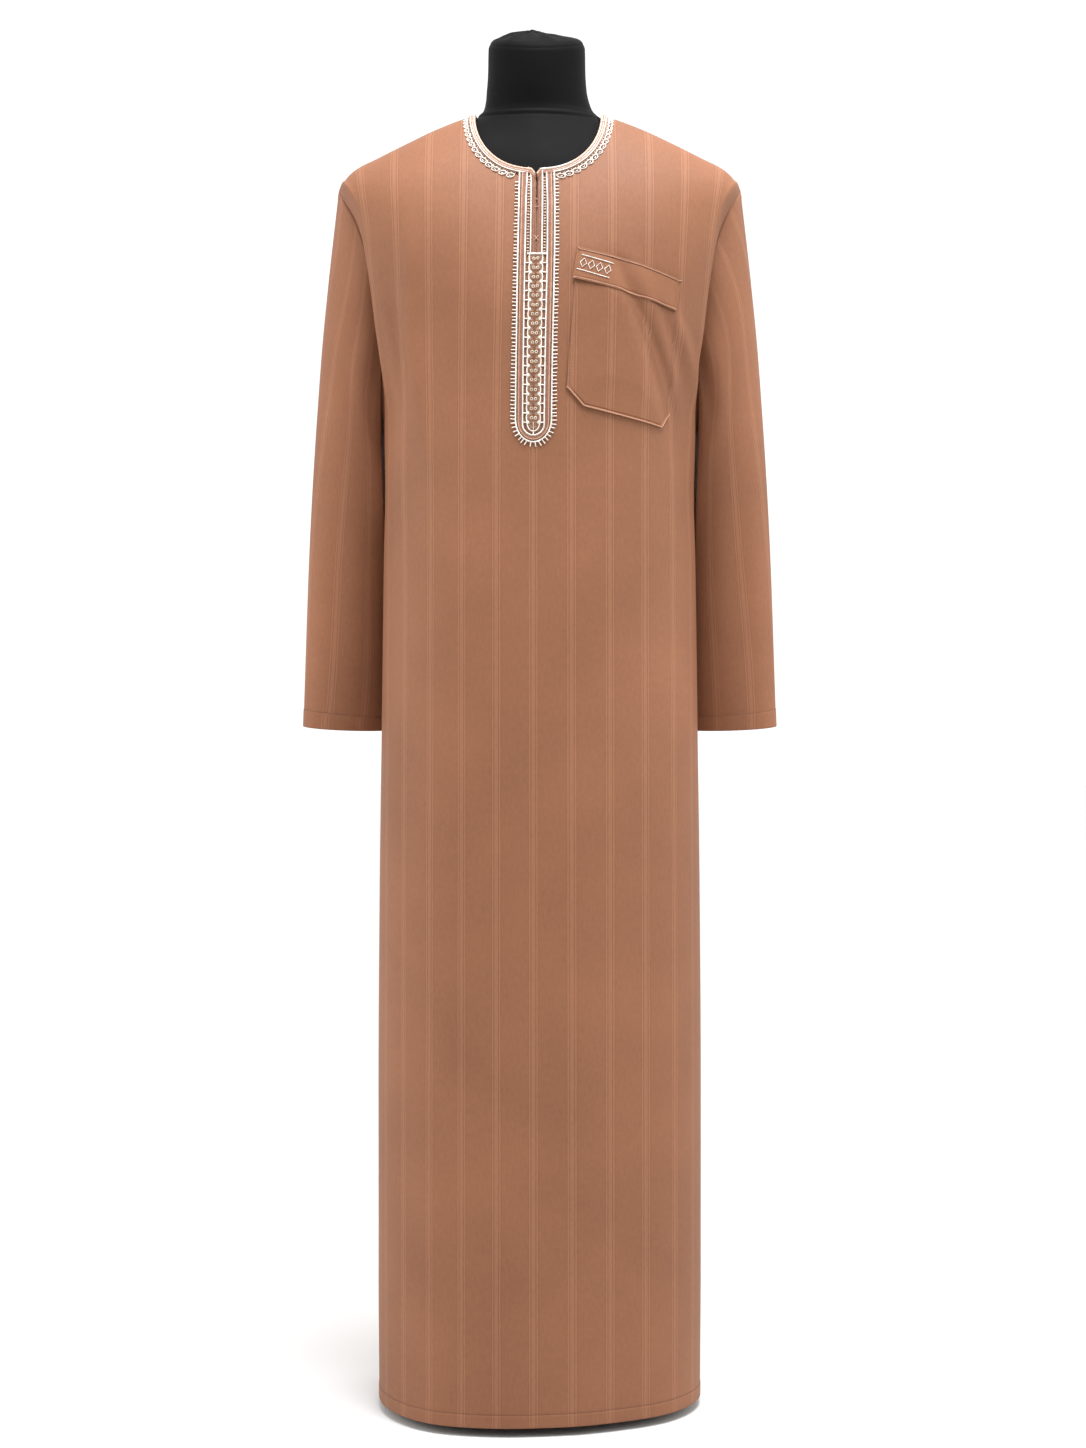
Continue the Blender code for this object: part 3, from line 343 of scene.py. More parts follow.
# Folds run from their top to their foot, bowed to one side between, and stand out by their rise.
FOLDS = named_rows(
    "panel top_out top_height foot_out foot_height bow width foot_width rise",
    ("front", 0.078, 1.285, 0.176, 0.960, 0.014, 0.009, 0.014, -0.0058),
    ("front", 0.096, 1.235, 0.152, 1.060, 0.010, 0.0032, 0.0040, 0.0016),
    ("front", 0.122, 1.240, 0.170, 1.040, 0.012, 0.007, 0.010, -0.0040),
    ("front", 0.150, 1.215, 0.176, 1.110, 0.004, 0.006, 0.009, 0.0024),
    ("front", -0.146, 1.345, -0.148, 0.980, 0.004, 0.010, 0.018, 0.0044),
    ("front", -0.166, 1.230, -0.136, 1.000, 0.002, 0.008, 0.012, -0.0046),
    ("front", -0.188, 1.290, -0.156, 1.075, 0.004, 0.006, 0.008, 0.0034),
    ("front", -0.120, 1.190, -0.166, 0.900, -0.010, 0.014, 0.024, 0.0026),
    ("front", -0.128, 0.930, -0.118, -0.300, 0.004, 0.030, 0.036, 0.0020),
    ("front", -0.035, 1.020, -0.030, -0.300, 0.006, 0.034, 0.040, 0.0016),
    ("front", 0.062, 0.980, 0.055, -0.300, -0.005, 0.030, 0.038, 0.0018),
    ("front", 0.140, 0.860, 0.134, -0.300, 0.003, 0.024, 0.030, 0.0018),
    ("back", -0.105, 1.250, -0.128, -0.100, 0.000, 0.020, 0.030, 0.016),
    ("back", -0.040, 1.220, -0.045, -0.100, 0.000, 0.018, 0.027, 0.013),
    ("back", 0.035, 1.240, 0.040, -0.100, 0.000, 0.018, 0.028, 0.014),
    ("back", 0.100, 1.260, 0.125, -0.100, 0.000, 0.020, 0.030, 0.015),
    ("back", -0.150, 1.230, -0.090, 1.090, -0.006, 0.010, 0.014, 0.003),
    ("back", 0.155, 1.210, 0.100, 1.060, 0.005, 0.010, 0.015, 0.003),
    ("back", 0.012, 0.900, -0.004, 0.200, 0.006, 0.012, 0.016, 0.003),
)

FOLD_GROWTH = 1.6  # a fold that runs to the hem is whole after its length divided by this
TROUGH = 0.4  # each fold has a shallow trough beside it, this share of its rise and this many widths away
TROUGH_OFF = 1.9

# The columns of a panel: along the neckline, on along the shoulder to the ridge, and round it into the armhole.
NECK_TURNS = (0, 22, 43, 61, 75, 84, 90)
NECK_COLUMNS = len(NECK_TURNS) - 1
RIDGE_COLUMN = NECK_COLUMNS + 6
LAST_COLUMN = RIDGE_COLUMN + 3
HALF_COLUMNS = 120
COLUMN_PLACES = np.linspace(0, LAST_COLUMN, HALF_COLUMNS + 1)
RIDGE_INDEX = int(np.argmin(np.abs(COLUMN_PLACES - RIDGE_COLUMN)))
CHEST_ROWS = 84
DENSE_ROWS = 260
HEM_ROWS = (0.0, 0.0012, 0.006, 0.0115, 0.0128, 0.0136, 0.0144, 0.0152, 0.0166, 0.020)
HEM_STITCH_ROW = 6
SKIRT_ROWS = np.concatenate([HEM_ROWS, np.linspace(0.030, UNDERARM, 92)[:-1]])
EVENED_ROWS = 14  # so many rows each way of the underarm are evened out, in so many passes
EVENED_PASSES = 30


def travelled(points, axis=0):
    """How far each point of a line or grid is along its row or column."""
    steps = np.linalg.norm(np.diff(points, axis=axis), axis=-1)
    return np.insert(np.cumsum(steps, axis=axis), 0, 0, axis=axis)


def resampled(line, count):
    """The same line with that many points, evenly spaced."""
    gone = travelled(line)
    at = np.linspace(0, gone[-1], count)
    return np.stack([np.interp(at, gone, line[:, k]) for k in range(line.shape[1])], axis=1)


def curve_between(low, high, low_slope, high_slope, step, t):
    """A smooth curve from one value to the next, with the slopes that it has at both."""
    return (
        low * (1 + 2 * t) * (1 - t) ** 2
        + low_slope * step * t * (1 - t) ** 2
        + high * t * t * (3 - 2 * t)
        + high_slope * step * t * t * (t - 1)
    )


def smooth(table, key, value, at):
    """One column of a table at places between its rows, on a smooth curve that never overshoots them."""
    x = np.array([getattr(row, key) for row in table])
    y = np.array([getattr(row, value) for row in table])
    step = np.diff(x)
    rise = np.diff(y) / step
    slope = np.zeros(len(x))
    same = rise[1:] * rise[:-1] > 0
    near, far = 2 * step[1:] + step[:-1], step[1:] + 2 * step[:-1]
    inner = np.where(same, rise[1:] * rise[:-1], 1.0)
    weighed = np.where(same, near * rise[1:] + far * rise[:-1], 1.0)
    slope[1:-1] = np.where(same, (near + far) * inner / weighed, 0)
    slope[0], slope[-1] = rise[0], rise[-1]
    at = np.clip(np.asarray(at, float), x[0], x[-1])
    i = np.clip(np.searchsorted(x, at, side="right") - 1, 0, len(x) - 2)
    return curve_between(y[i], y[i + 1], slope[i], slope[i + 1], step[i], (at - x[i]) / step[i])


def across_share(out, height):
    """The depth that the upper body has at a place, as a share of its depth at the middle."""
    reach = smooth(ARMHOLE, "height", "reach", height)
    return np.clip(1 - (out / reach) ** SQUARENESS, 0, 1) ** (1 / SQUARENESS)


def rolled_depth(out, height, panel):
    """How deep the upper body is at its middle, after the roll over the shoulder at that place."""
    roll = ROLL[panel] - ROLL_LOSS * np.abs(out)
    risen = np.clip((smooth(SHOULDER_LINE, "out", "height", np.abs(out)) - height) / roll, 0, 1)
    return smooth(BODY, "height", panel, height) * np.sqrt(1 - (1 - risen) ** 2)


def shell_depth(out, height, panel):
    """How far the upper body's surface stands in front of the shoulder line, or behind it for the back."""
    out = np.abs(out)
    shoulder = rolled_depth(out, height, panel) * across_share(out, height)
    neck = NECK_ROOT_DEPTH * np.clip(1 - (out / NECK_ROOT_HALF_WIDTH) ** 2, 0, 1)
    return (shoulder**4 + neck**4) ** (1 / 4)


def cloth_out(out, height, panel):
    """How far a place is from the centre line along the cloth, which is more than its distance out."""
    steps = np.linspace(0, 1, 25).reshape(-1, *([1] * np.ndim(out)))
    places = steps * out
    deep = rolled_depth(out, height, panel) * across_share(places, height)
    return np.hypot(np.diff(places, axis=0), np.diff(deep, axis=0)).sum(0)


def neckline(turn, panel, outside=0.0):
    """A point of the neckline, as out and height. turn is 0 at the centre and a right angle at the shoulder."""
    power = 2 / NECK_SQUARENESS
    half_width = NECK_HALF_WIDTH + outside
    top = smooth(SHOULDER_LINE, "out", "height", half_width)
    drop = (NECK_DROP[panel] + NECK_WIDENING * outside) * np.maximum(np.cos(turn), 0) ** power
    return half_width * np.sin(turn) ** power, top - drop


def chest_row(rise, panel):
    """One row of the upper body, from the centre line to the armhole seam. rise is 0 at the underarm and 1 at
    the shoulder seam and neckline."""
    columns = COLUMN_PLACES[:RIDGE_INDEX + 1]
    seam_height = UNDERARM + (SHOULDER_TIP - UNDERARM) * rise
    low_share = np.sin(np.radians(90) * columns / LAST_COLUMN) ** (2 / SQUARENESS)
    low_share = low_share / low_share[-1]
    ridge_top = ARMHOLE[-1].ridge_out
    turns = np.radians(np.interp(columns, range(len(NECK_TURNS)), NECK_TURNS))
    neck_out, neck_height = neckline(turns, panel)
    seam_share = np.clip((columns - NECK_COLUMNS) / (RIDGE_COLUMN - NECK_COLUMNS), 0, 1)
    seam_out = NECK_HALF_WIDTH + (ridge_top - NECK_HALF_WIDTH) * seam_share
    on_neck = columns <= NECK_COLUMNS
    top_out = np.where(on_neck, neck_out, seam_out)
    top_height = np.where(on_neck, neck_height, smooth(SHOULDER_LINE, "out", "height", seam_out))
    share = low_share + (top_out / ridge_top - low_share) * rise**FAN
    out = float(smooth(ARMHOLE, "height", "ridge_out", seam_height)) * share
    height = UNDERARM + (top_height - UNDERARM) * rise
    points = np.stack([out, WAY[panel] * shell_depth(out, height, panel), height], axis=1)
    seam_depth = float(smooth(ARMHOLE, "height", "seam_" + panel, seam_height))
    seam_out = float(smooth(ARMHOLE, "height", "seam_out", seam_height))
    seam = np.array([seam_out, WAY[panel] * seam_depth, seam_height])
    start = points[-1]
    leave = start - points[-2]
    leave[2] = 0
    bend = start + leave / max(np.linalg.norm(leave), 1e-9) * FLAP_BULGE * np.linalg.norm(seam - start)
    t = ((COLUMN_PLACES[RIDGE_INDEX + 1:] - RIDGE_COLUMN) / (LAST_COLUMN - RIDGE_COLUMN))[:, None]
    flap = start * (1 - t) ** 2 + bend * 2 * t * (1 - t) + seam * t * t
    return np.concatenate([points, flap])


def skirt_row(height, panel):
    """One level row below the underarm, from the centre line to the side seam."""
    turn = np.radians(90) * COLUMN_PLACES / LAST_COLUMN
    power = 2 / SQUARENESS
    out = smooth(BODY, "height", "half_width", height) * np.sin(turn) ** power
    depth = WAY[panel] * smooth(BODY, "height", panel, height) * np.maximum(np.cos(turn), 0) ** power
    return np.stack([out, depth, np.full(len(turn), height)], axis=1)


def relaxed(rows):
    """A half panel's rows with those round the underarm evened out, so that no crease is left there."""
    made = rows.copy()
    near = np.clip(1 - np.abs(np.arange(len(rows)) - len(SKIRT_ROWS)) / EVENED_ROWS, 0, 1)
    free = 1 - np.linspace(0, 1, rows.shape[1]) ** 8  # the side seam stays where it is
    share = near[1:-1, None, None] * 0.5 * free[None, :, None]
    for _ in range(EVENED_PASSES):
        made[1:-1] += share * ((made[:-2] + made[2:]) / 2 - made[1:-1])
    return made


def half_panel(panel):
    """Half of the front or back, centre line to side seam, in rows from the hem to the shoulder and neckline."""
    rises = np.sin(np.radians(90) * np.arange(DENSE_ROWS + 1) / DENSE_ROWS)
    chest = np.array([chest_row(rise, panel) for rise in rises])
    columns = [resampled(chest[:, c], CHEST_ROWS + 1) for c in range(chest.shape[1])]
    skirt = np.array([skirt_row(height, panel) for height in SKIRT_ROWS])
    return relaxed(np.concatenate([skirt, np.stack(columns, axis=1)]))


def ridge(off, side=1):
    """How high a fold stands across its width, and the shallow trough on one side of it."""
    return np.exp(-(off**2)) - TROUGH * np.exp(-((off - side * TROUGH_OFF) ** 2))


def fold_rise(out, height, panel):
    """How far the folds push the cloth out at a place."""
    total = np.zeros(np.shape(out))
    for fold in (f for f in FOLDS if f.panel == panel):
        along = np.clip((fold.top_height - height) / (fold.top_height - fold.foot_height), 0, 1)
        middle = fold.top_out + (fold.foot_out - fold.top_out) * along + fold.bow * 4 * along * (1 - along)
        width = fold.width + (fold.foot_width - fold.width) * along
        grown = np.sin(np.radians(90) * np.clip(along * FOLD_GROWTH, 0, 1))
        if fold.foot_height > 0:
            grown = np.sin(np.radians(180) * along)
        side = math.copysign(1.0, fold.foot_out - fold.top_out)
        total = total + fold.rise * grown * ridge((out - middle) / width, side)
    return total


def hem_rise(up, turned):
    """The turned-up cloth stands a little proud, and the row of stitches above it is drawn in."""
    proud = HEM_PROUD * np.clip((turned + HEM_MARGIN - up) / HEM_EDGE, 0, 1)
    return proud - STITCH_DRAWN * np.exp(-(((up - turned) / STITCH_GROOVE) ** 2))


def hung(points):
    """Places of the robe or its form in the object's frame, with the centre front hung a little to one side."""
    out, back, height = np.moveaxis(np.asarray(points, float), -1, 0)
    across = np.clip(1 - (out / HANG_REACH) ** 2, 0, 1) ** 2
    front = np.clip(0.5 - back / HANG_DEPTH, 0, 1)
    moved = out + smooth(HANG, "height", "shift", height) * across * front * front * (3 - 2 * front)
    return np.stack([moved, back, height + HEM_CLEARANCE], axis=-1)


def panel_side(panel, side):
    """Half of a panel in place, with its folds, and where each of its points is on the flat cloth."""
    half = half_panel(panel)
    points = half.copy()
    points[:, :, 0] *= side
    out, height = half[:, :, 0], half[:, :, 2]
    flat_out = cloth_out(out, height, panel)
    flat_out[:, RIDGE_INDEX:] = flat_out[:, RIDGE_INDEX, None] + travelled(half[:, RIDGE_INDEX:], axis=1)
    flat_out[:len(SKIRT_ROWS)] = travelled(half[:len(SKIRT_ROWS)], axis=1)
    flat_up = travelled(half)
    fade = 1 - np.linspace(0, 1, half.shape[1]) ** 6  # no fold runs into the side seam
    rise = fold_rise(points[:, :, 0], height, panel) * fade + hem_rise(height, HEM_TURNED)
    if panel == "front":
        below = np.clip((FRONT_LEAN_TOP - height) / FRONT_LEAN_FADE, 0, 1)
        reach = np.maximum(np.abs(half[:, -1:, 0]), 1e-6)
        points[:, :, 1] *= 1 - FRONT_LEAN * points[:, :, 0] / reach * below
        open_row = height[:, 0] > SLIT_BOTTOM
        points[open_row, 0, 0] = side * SLIT_GAP / 2
        points[:, 0, 2] -= NOTCH * np.clip((height[:, 0] - NOTCH_FOOT) / (height[-1, 0] - NOTCH_FOOT), 0, 1)
    outward = np.cross(np.gradient(points, axis=1), np.gradient(points, axis=0)) * -WAY[panel] * side
    outward[:, 0, 0] = 0
    outward[:, -1] = (side, 0, 0)
    points += outward / np.linalg.norm(outward, axis=2)[:, :, None] * rise[:, :, None]
    return points, np.stack([side * flat_out, flat_up], axis=-1)


def named(name):
    """The piece that was made last, with its name."""
    made = bpy.context.object
    made.name = name
    made.data.name = name
    return made


def laid_cloth(name, places, flat):
    """A flat grid of cloth with as many points as there are places, laid at those places. Its UV map is the
    flat cloth, in metres."""
    rows, columns = places.shape[:2]
    bpy.ops.object.select_all(action="DESELECT")
    bpy.ops.mesh.primitive_grid_add(x_subdivisions=columns - 1, y_subdivisions=rows - 1, size=2)
    made = named(name)
    square = np.zeros(len(made.data.vertices) * 3)
    made.data.vertices.foreach_get("co", square)
    square = square.reshape(-1, 3)
    across = np.rint((square[:, 0] + 1) / 2 * (columns - 1)).astype(int)
    up = np.rint((square[:, 1] + 1) / 2 * (rows - 1)).astype(int)
    made.data.vertices.foreach_set("co", places[up, across].ravel())
    corner = np.zeros(len(made.data.loops), int)
    made.data.loops.foreach_get("vertex_index", corner)
    made.data.uv_layers[0].name = "UVMap"
    made.data.uv_layers[0].data.foreach_set("uv", flat[up, across][corner].ravel())
    made.data.shade_smooth()
    made.data.update()
    return made


MERGED = 0.00002  # points that lie closer than this are one


def joined(name, pieces):
    """The pieces as one, with the points that coincide merged."""
    bpy.ops.object.select_all(action="DESELECT")
    for piece in pieces:
        piece.select_set(True)
    bpy.context.view_layer.objects.active = pieces[0]
    if len(pieces) > 1:
        bpy.ops.object.join()
    made = named(name)
    bpy.ops.object.mode_set(mode="EDIT")
    bpy.ops.mesh.select_all(action="SELECT")
    bpy.ops.mesh.remove_doubles(threshold=MERGED)
    bpy.ops.mesh.select_all(action="DESELECT")
    bpy.ops.object.mode_set(mode="OBJECT")
    return made


def thickened(piece, thickness):
    """The cloth given its thickness on the inside."""
    bpy.context.view_layer.objects.active = piece
    wall = piece.modifiers.new("wall", "SOLIDIFY")
    wall.thickness = thickness
    wall.offset = -1
    bpy.ops.object.modifier_apply(modifier="wall")
    return piece


def drawn_in(places, by):
    """The panel's side, shoulder and armhole borders drawn in by half a seam's gap."""
    made = places.copy()
    rim = made[:, -1] - made[:, -2]
    made[:, -1] -= rim / np.linalg.norm(rim, axis=1)[:, None] * by
    top = made[-1] - made[-2]
    made[-1] -= top / np.linalg.norm(top, axis=1)[:, None] * by
    return made


def surface_of(*pieces):
    """The pieces' faces, to be asked for the nearest place on them."""
    points, faces = [], []
    for piece in pieces:
        start = len(points)
        points += [v.co.copy() for v in piece.data.vertices]
        faces += [tuple(i + start for i in face.vertices) for face in piece.data.polygons]
    return BVHTree.FromPolygons(points, faces)


STRIPE_PITCH = 0.041
STRIPE_HALF = 0.0065
# Half of a stripe from its middle out: how pale the threads are at each share of the way.
STRIPE_STOPS = (
    (0.00, 0.86), (0.28, 0.86), (0.36, 0.12), (0.46, 0.12), (0.55, 1.00), (0.68, 1.00),
    (0.77, 0.10), (0.87, 0.24), (0.96, 0.42), (1.00, 0.42),
)
STRIPE_GROUND = 0.42  # and how pale they are beside it
STRIPE_PALE = (0.36, 0.205, 0.135)
WALE_PITCH = 0.00085


def woven(name, light, dark, striped=True):
    """Twill, with its woven stripes, diagonal wales, slubs and a faint mottle."""
    finish = Finish(name, Roughness=0.64, Specular_IOR_Level=0.26)
    cloth = finish.along()
    across, up, _ = finish.split(cloth)
    off = abs(across.wrapped(STRIPE_PITCH)) / STRIPE_HALF
    band = finish.node("ShaderNodeValToRGB", {"stops": STRIPE_STOPS}, {0: off})
    wales = ((across + up) * (2 * math.pi / WALE_PITCH)).wave()
    slub = finish.noise(finish.stretched(cloth, 900, 60), 1.0)
    grain = finish.noise(finish.stretched(cloth, 260, 160), 1.0, detail=3.0)
    mottle = finish.noise(finish.place(), 7.0, detail=3.0)
    tone = (mottle - 0.5) * 0.55 + (slub - 0.5) * 0.22 + (grain - 0.5) * 0.25 + 0.5
    height = wales * 0.12 + slub * 0.5 + grain * 0.35
    if striped:
        tone = tone + (band - STRIPE_GROUND) * 0.28
        height = height + band * 0.6
    colour = finish.mixed(tone.clipped(0.0, 1.0), dark, light)
    if striped:
        colour = finish.mixed((band - 0.5).at_least(0.0) * 0.21, colour, STRIPE_PALE)
    finish.colour(colour)
    finish.bump(height, 0.00022, 0.55)
    return finish


twill = woven("caramel_twill", light=(0.266, 0.110, 0.054), dark=(0.144, 0.0585, 0.0275))

panels = {}
hems = {"front": [], "back": []}
for panel in ("front", "back"):
    halves = []
    for side in (1, -1):
        places, flat = panel_side(panel, side)
        places = hung(drawn_in(places, SEAM_GAP / 2))
        hems[panel].append(places[HEM_STITCH_ROW])
        if WAY[panel] == side:  # laid from its seam to the centre, so that its face points outwards
            places, flat = places[:, ::-1], flat[:, ::-1]
        halves.append(laid_cloth("half", places, flat))
    panels[panel] = joined("robe_" + panel, halves)
body_cloth = surface_of(panels["front"], panels["back"])
FRONT_CUT = (0.56, 1.475)
BACK_CUT = (0.55, 1.475)
for panel, cut in (("front", FRONT_CUT), ("back", BACK_CUT)):
    piece = thickened(panels[panel], CLOTH)
    give(piece, twill)
    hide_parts(panel)

# The sleeves.
# Each is one tapering length of the same twill, with its colour painted a shade lighter to brighten the
# shaded sleeves, its stripes running down the arm, set into the armhole and closed by a seam under the arm. It
# hangs just clear of the body, and its cuff is turned up 16 mm and stitched.

SLEEVE = named_rows(
    "along outer_out outer_back outer_height inner_out inner_back inner_height half_width",
    (0.23, 0.2431, 0.004, 1.2434, 0.1745, 0.036, 1.0650, 0.043),
    (0.45, 0.2520, 0.010, 1.1300, 0.1695, 0.058, 1.0000, 0.044),
    (0.72, 0.2613, 0.020, 0.9700, 0.1650, 0.084, 0.9000, 0.041),
    (1.00, 0.2700, 0.032, 0.7565, 0.1644, 0.102, 0.7565, 0.036),
)
SLEEVE_AXIS = (0.075, 0.105, -1.0)  # the way a hanging sleeve points
SLEEVE_CLEARANCE = 0.0035  # between the sleeve and the body that it hangs against
SLEEVE_EASE = 0.04  # the clearance is whole this share of the sleeve's length below its seam
PUSHES = 2
SLEEVE_LENGTH = 0.62
SIDES = ((1, "left"), (-1, "right"))  # the wearer's left is along +X
CUFF_TURNED = 0.016
CUFF_ROWS = np.array((0.0, 0.0012, 0.006, 0.0130, 0.0144, 0.0153, 0.0160, 0.0168, 0.0180, 0.022))
SLEEVE_ROWS = np.concatenate([np.linspace(0, 0.955, 88), 1 - CUFF_ROWS[::-1] / SLEEVE_LENGTH])
# One stripe of each sleeve, as the distance out that it has at two heights. The others lie beside it on the
# cloth.
STRIPE_LOW = (0.2425, 0.7885)
STRIPE_HIGH = (0.2190, 1.0700)
STRIPE_BELOW, STRIPE_ABOVE = 0.04, 0.06  # how far past those heights it is followed

# Soft creases of a sleeve, from their top to their foot. The turn is 0 at the outer edge and 90 in front.
CREASES = named_rows(
    "side turn at foot_turn foot_at width rise",
    (1, 105, 0.02, 70, 0.42, 0.010, 0.0026),
    (1, 150, 0.10, 110, 0.60, 0.012, 0.0024),
    (1, 60, 0.45, 95, 0.98, 0.018, 0.0018),
    (1, 250, 0.05, 300, 0.50, 0.011, 0.0030),
    (1, 230, 0.40, 270, 0.85, 0.013, 0.0026),
    (-1, 100, 0.03, 75, 0.36, 0.011, 0.0024),
    (-1, 145, 0.12, 100, 0.66, 0.013, 0.0026),
    (-1, 65, 0.50, 85, 1.05, 0.020, 0.0016),
    (-1, 255, 0.04, 290, 0.55, 0.012, 0.0030),
    (-1, 225, 0.45, 265, 0.90, 0.014, 0.0024),
)


def curve_through(places, rows, at):
    """The row at one place of a smooth curve that passes through all the rows."""
    i = min(max(np.searchsorted(places, at, side="right") - 1, 0), len(rows) - 2)
    slopes = [(rows[1] - rows[0]) / (places[1] - places[0])]
    for k in range(1, len(rows) - 1):
        slopes.append((rows[k + 1] - rows[k - 1]) / (places[k + 1] - places[k - 1]))
    slopes.append((rows[-1] - rows[-2]) / (places[-1] - places[-2]))
    step = places[i + 1] - places[i]
    return curve_between(rows[i], rows[i + 1], slopes[i], slopes[i + 1], step, (at - places[i]) / step)


def sleeve_ring(section, turns):
    """One slanted oval of the sleeve. turns run from its outer edge over the front to its inner edge."""
    outer = np.array([section.outer_out, section.outer_back, section.outer_height])
    inner = np.array([section.inner_out, section.inner_back, section.inner_height])
    short_way = np.cross(outer - inner, np.array(SLEEVE_AXIS))
    short_way *= -np.sign(short_way[1]) / np.linalg.norm(short_way)
    ring = (outer + inner) / 2 + np.outer(np.cos(turns), (outer - inner) / 2)
    return ring + np.outer(np.sin(turns) * section.half_width, short_way)


def crease_rise(side, turns, at, radius):
    """How far the creases push one ring of a sleeve out."""
    total = np.zeros(len(turns))
    for crease in (c for c in CREASES if c.side == side):
        along = (at - crease.at) / (crease.foot_at - crease.at)
        if 0 < along < 1:
            middle = crease.turn + (crease.foot_turn - crease.turn) * along
            off = np.radians((np.degrees(turns) - middle + 180) % 360 - 180) * radius / crease.width
            total += crease.rise * math.sin(math.pi * along) * ridge(off)
    return total


def pushed_clear(point, clearance):
    """The point, or the nearest place that far outside the body's cloth."""
    place = Vector(point)
    for _ in range(PUSHES):
        nearest, normal, _, _ = body_cloth.find_nearest(place)
        short = clearance - (place - nearest) @ normal
        if short > 0:
            place = place + normal * short
    return place


def stripe_start(places, around, side):
    """Where the sleeve's stripe crosses each row, as a distance along the row, smooth up to the seam."""
    (low_out, low), (high_out, high) = STRIPE_LOW, STRIPE_HIGH
    rows, found = [], []
    for k, row in enumerate(places):
        off = side * row[:, 0] - (low_out + (row[:, 2] - low) * (high_out - low_out) / (high - low))
        facing = row[:-1, 1] < row[:, 1].mean()
        cross = np.nonzero((off[:-1] * off[1:] <= 0) & facing)[0]
        if len(cross) and low - STRIPE_BELOW < row[cross[0], 2] < high + STRIPE_ABOVE:
            i = cross[0]
            share = off[i] / (off[i] - off[i + 1])
            rows.append(k)
            found.append(around[k, i] * (1 - share) + around[k, i + 1] * share)
    return np.polyval(np.polyfit(rows, found, 2), np.arange(len(places)))


def sleeve_places(side):
    """A sleeve's points from the cuff up to the armhole, and where each of them is on the flat cloth."""
    fronts, backs = half_panel("front"), half_panel("back")
    first = len(SKIRT_ROWS)
    seam = np.concatenate([fronts[first:, -1][::-1], backs[first:, -1][1:-1]])
    count = len(seam)
    turns = 2 * math.pi * np.arange(count) / count
    rings = [seam] + [sleeve_ring(section, turns) for section in SLEEVE]
    stations = [0.0] + [section.along for section in SLEEVE]
    rows = []
    for at in SLEEVE_ROWS:
        ring = curve_through(stations, rings, at)
        middle = ring.mean(0)
        spoke = ring - middle
        radius = np.linalg.norm(spoke, axis=1)
        rise = crease_rise(side, turns, at, radius) + hem_rise((1 - at) * SLEEVE_LENGTH, CUFF_TURNED)
        ring = middle + spoke * ((radius + rise) / radius)[:, None]
        ring[:, 0] *= side
        ring = hung(ring)
        if at > 0:
            ring = np.array([pushed_clear(point, SLEEVE_CLEARANCE * min(1, at / SLEEVE_EASE)) for point in ring])
        else:
            ring = ring - np.array([0, 0, SEAM_GAP / 2])
        rows.append(ring)
    order = np.arange(count // 2, -count // 2 - 1, -1)[::side]
    places = np.array(rows)[::-1][:, order]
    around = travelled(places, axis=1) * -side
    start = stripe_start(places, around, side)
    return places, np.stack([around - start[:, None], travelled(places)], axis=-1)


# Painted light: the sleeves' twill is painted about a tenth lighter than the body's, to brighten their shaded
# faces.
sleeve_twill_painted_lighter = woven("caramel_twill_sleeve_painted_lighter", light=(0.289, 0.120, 0.060), dark=(0.158, 0.064, 0.031))

sleeves = {}
sleeve_surfaces = {}
for side, name in SIDES:
    places, flat = sleeve_places(side)
    sleeve = joined("robe_sleeve_" + name, [laid_cloth("sleeve", places, flat)])
    sleeves[side] = places
    sleeve_surfaces[side] = surface_of(sleeve)
    thickened(sleeve, CLOTH)
    give(sleeve, sleeve_twill_painted_lighter)
    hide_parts("sleeve_" + name)

# The chest pocket.
# A patch of the robe's cloth with its bottom corners cut off, on the wearer's left, its stripes matched to the
# front. Its edges are turned in and stitched down, and a plain band is folded double over its mouth.

POCKET = named_rows(
    "left_out left_height right_out right_height",
    (0.0445, 1.2791, 0.1540, 1.2485),
    (0.0350, 1.1269, 0.1472, 1.1034),
    (0.0534, 1.1061, 0.1364, 1.0872),
)
POCKET_BAND = named_rows(
    "left_out left_height right_out right_height",
    (0.0445, 1.2796, 0.1548, 1.2487),
    (0.0402, 1.2452, 0.1486, 1.2151),
)
POCKET_LIFT = 0.0011
POCKET_CLOTH = 0.0008
BELLY = 0.0022  # the middle of the pocket stands out this much more than its edges
BELLY_MARGIN, BELLY_REACH = 0.003, 0.035  # it starts this far in from them, and is whole this much further in
POCKET_COLUMNS, POCKET_ROWS = 96, 110
# Its rolled edge grows over the foot band, from a line this far above its cut corner that slopes across.
FOOT_BAND = 0.010
FOOT_MARGIN = 0.004
FOOT_SLOPE = 0.22
BAND_LIFT = 0.0030
BAND_CLOTH = 0.0012
BAND_BOW = 0.0022  # the mouth curves up between its ends
BAND_LENGTH = 0.118
BAND_COLUMNS, BAND_ROWS = 96, 40
PIPING = 0.0014  # width of a rolled edge
GROOVE_IN = 0.0024  # the row of stitches beside it is this far in, and its groove has this half width
GROOVE_HALF = 0.0006
SPREAD = 0.004  # normals are averaged over this distance each way


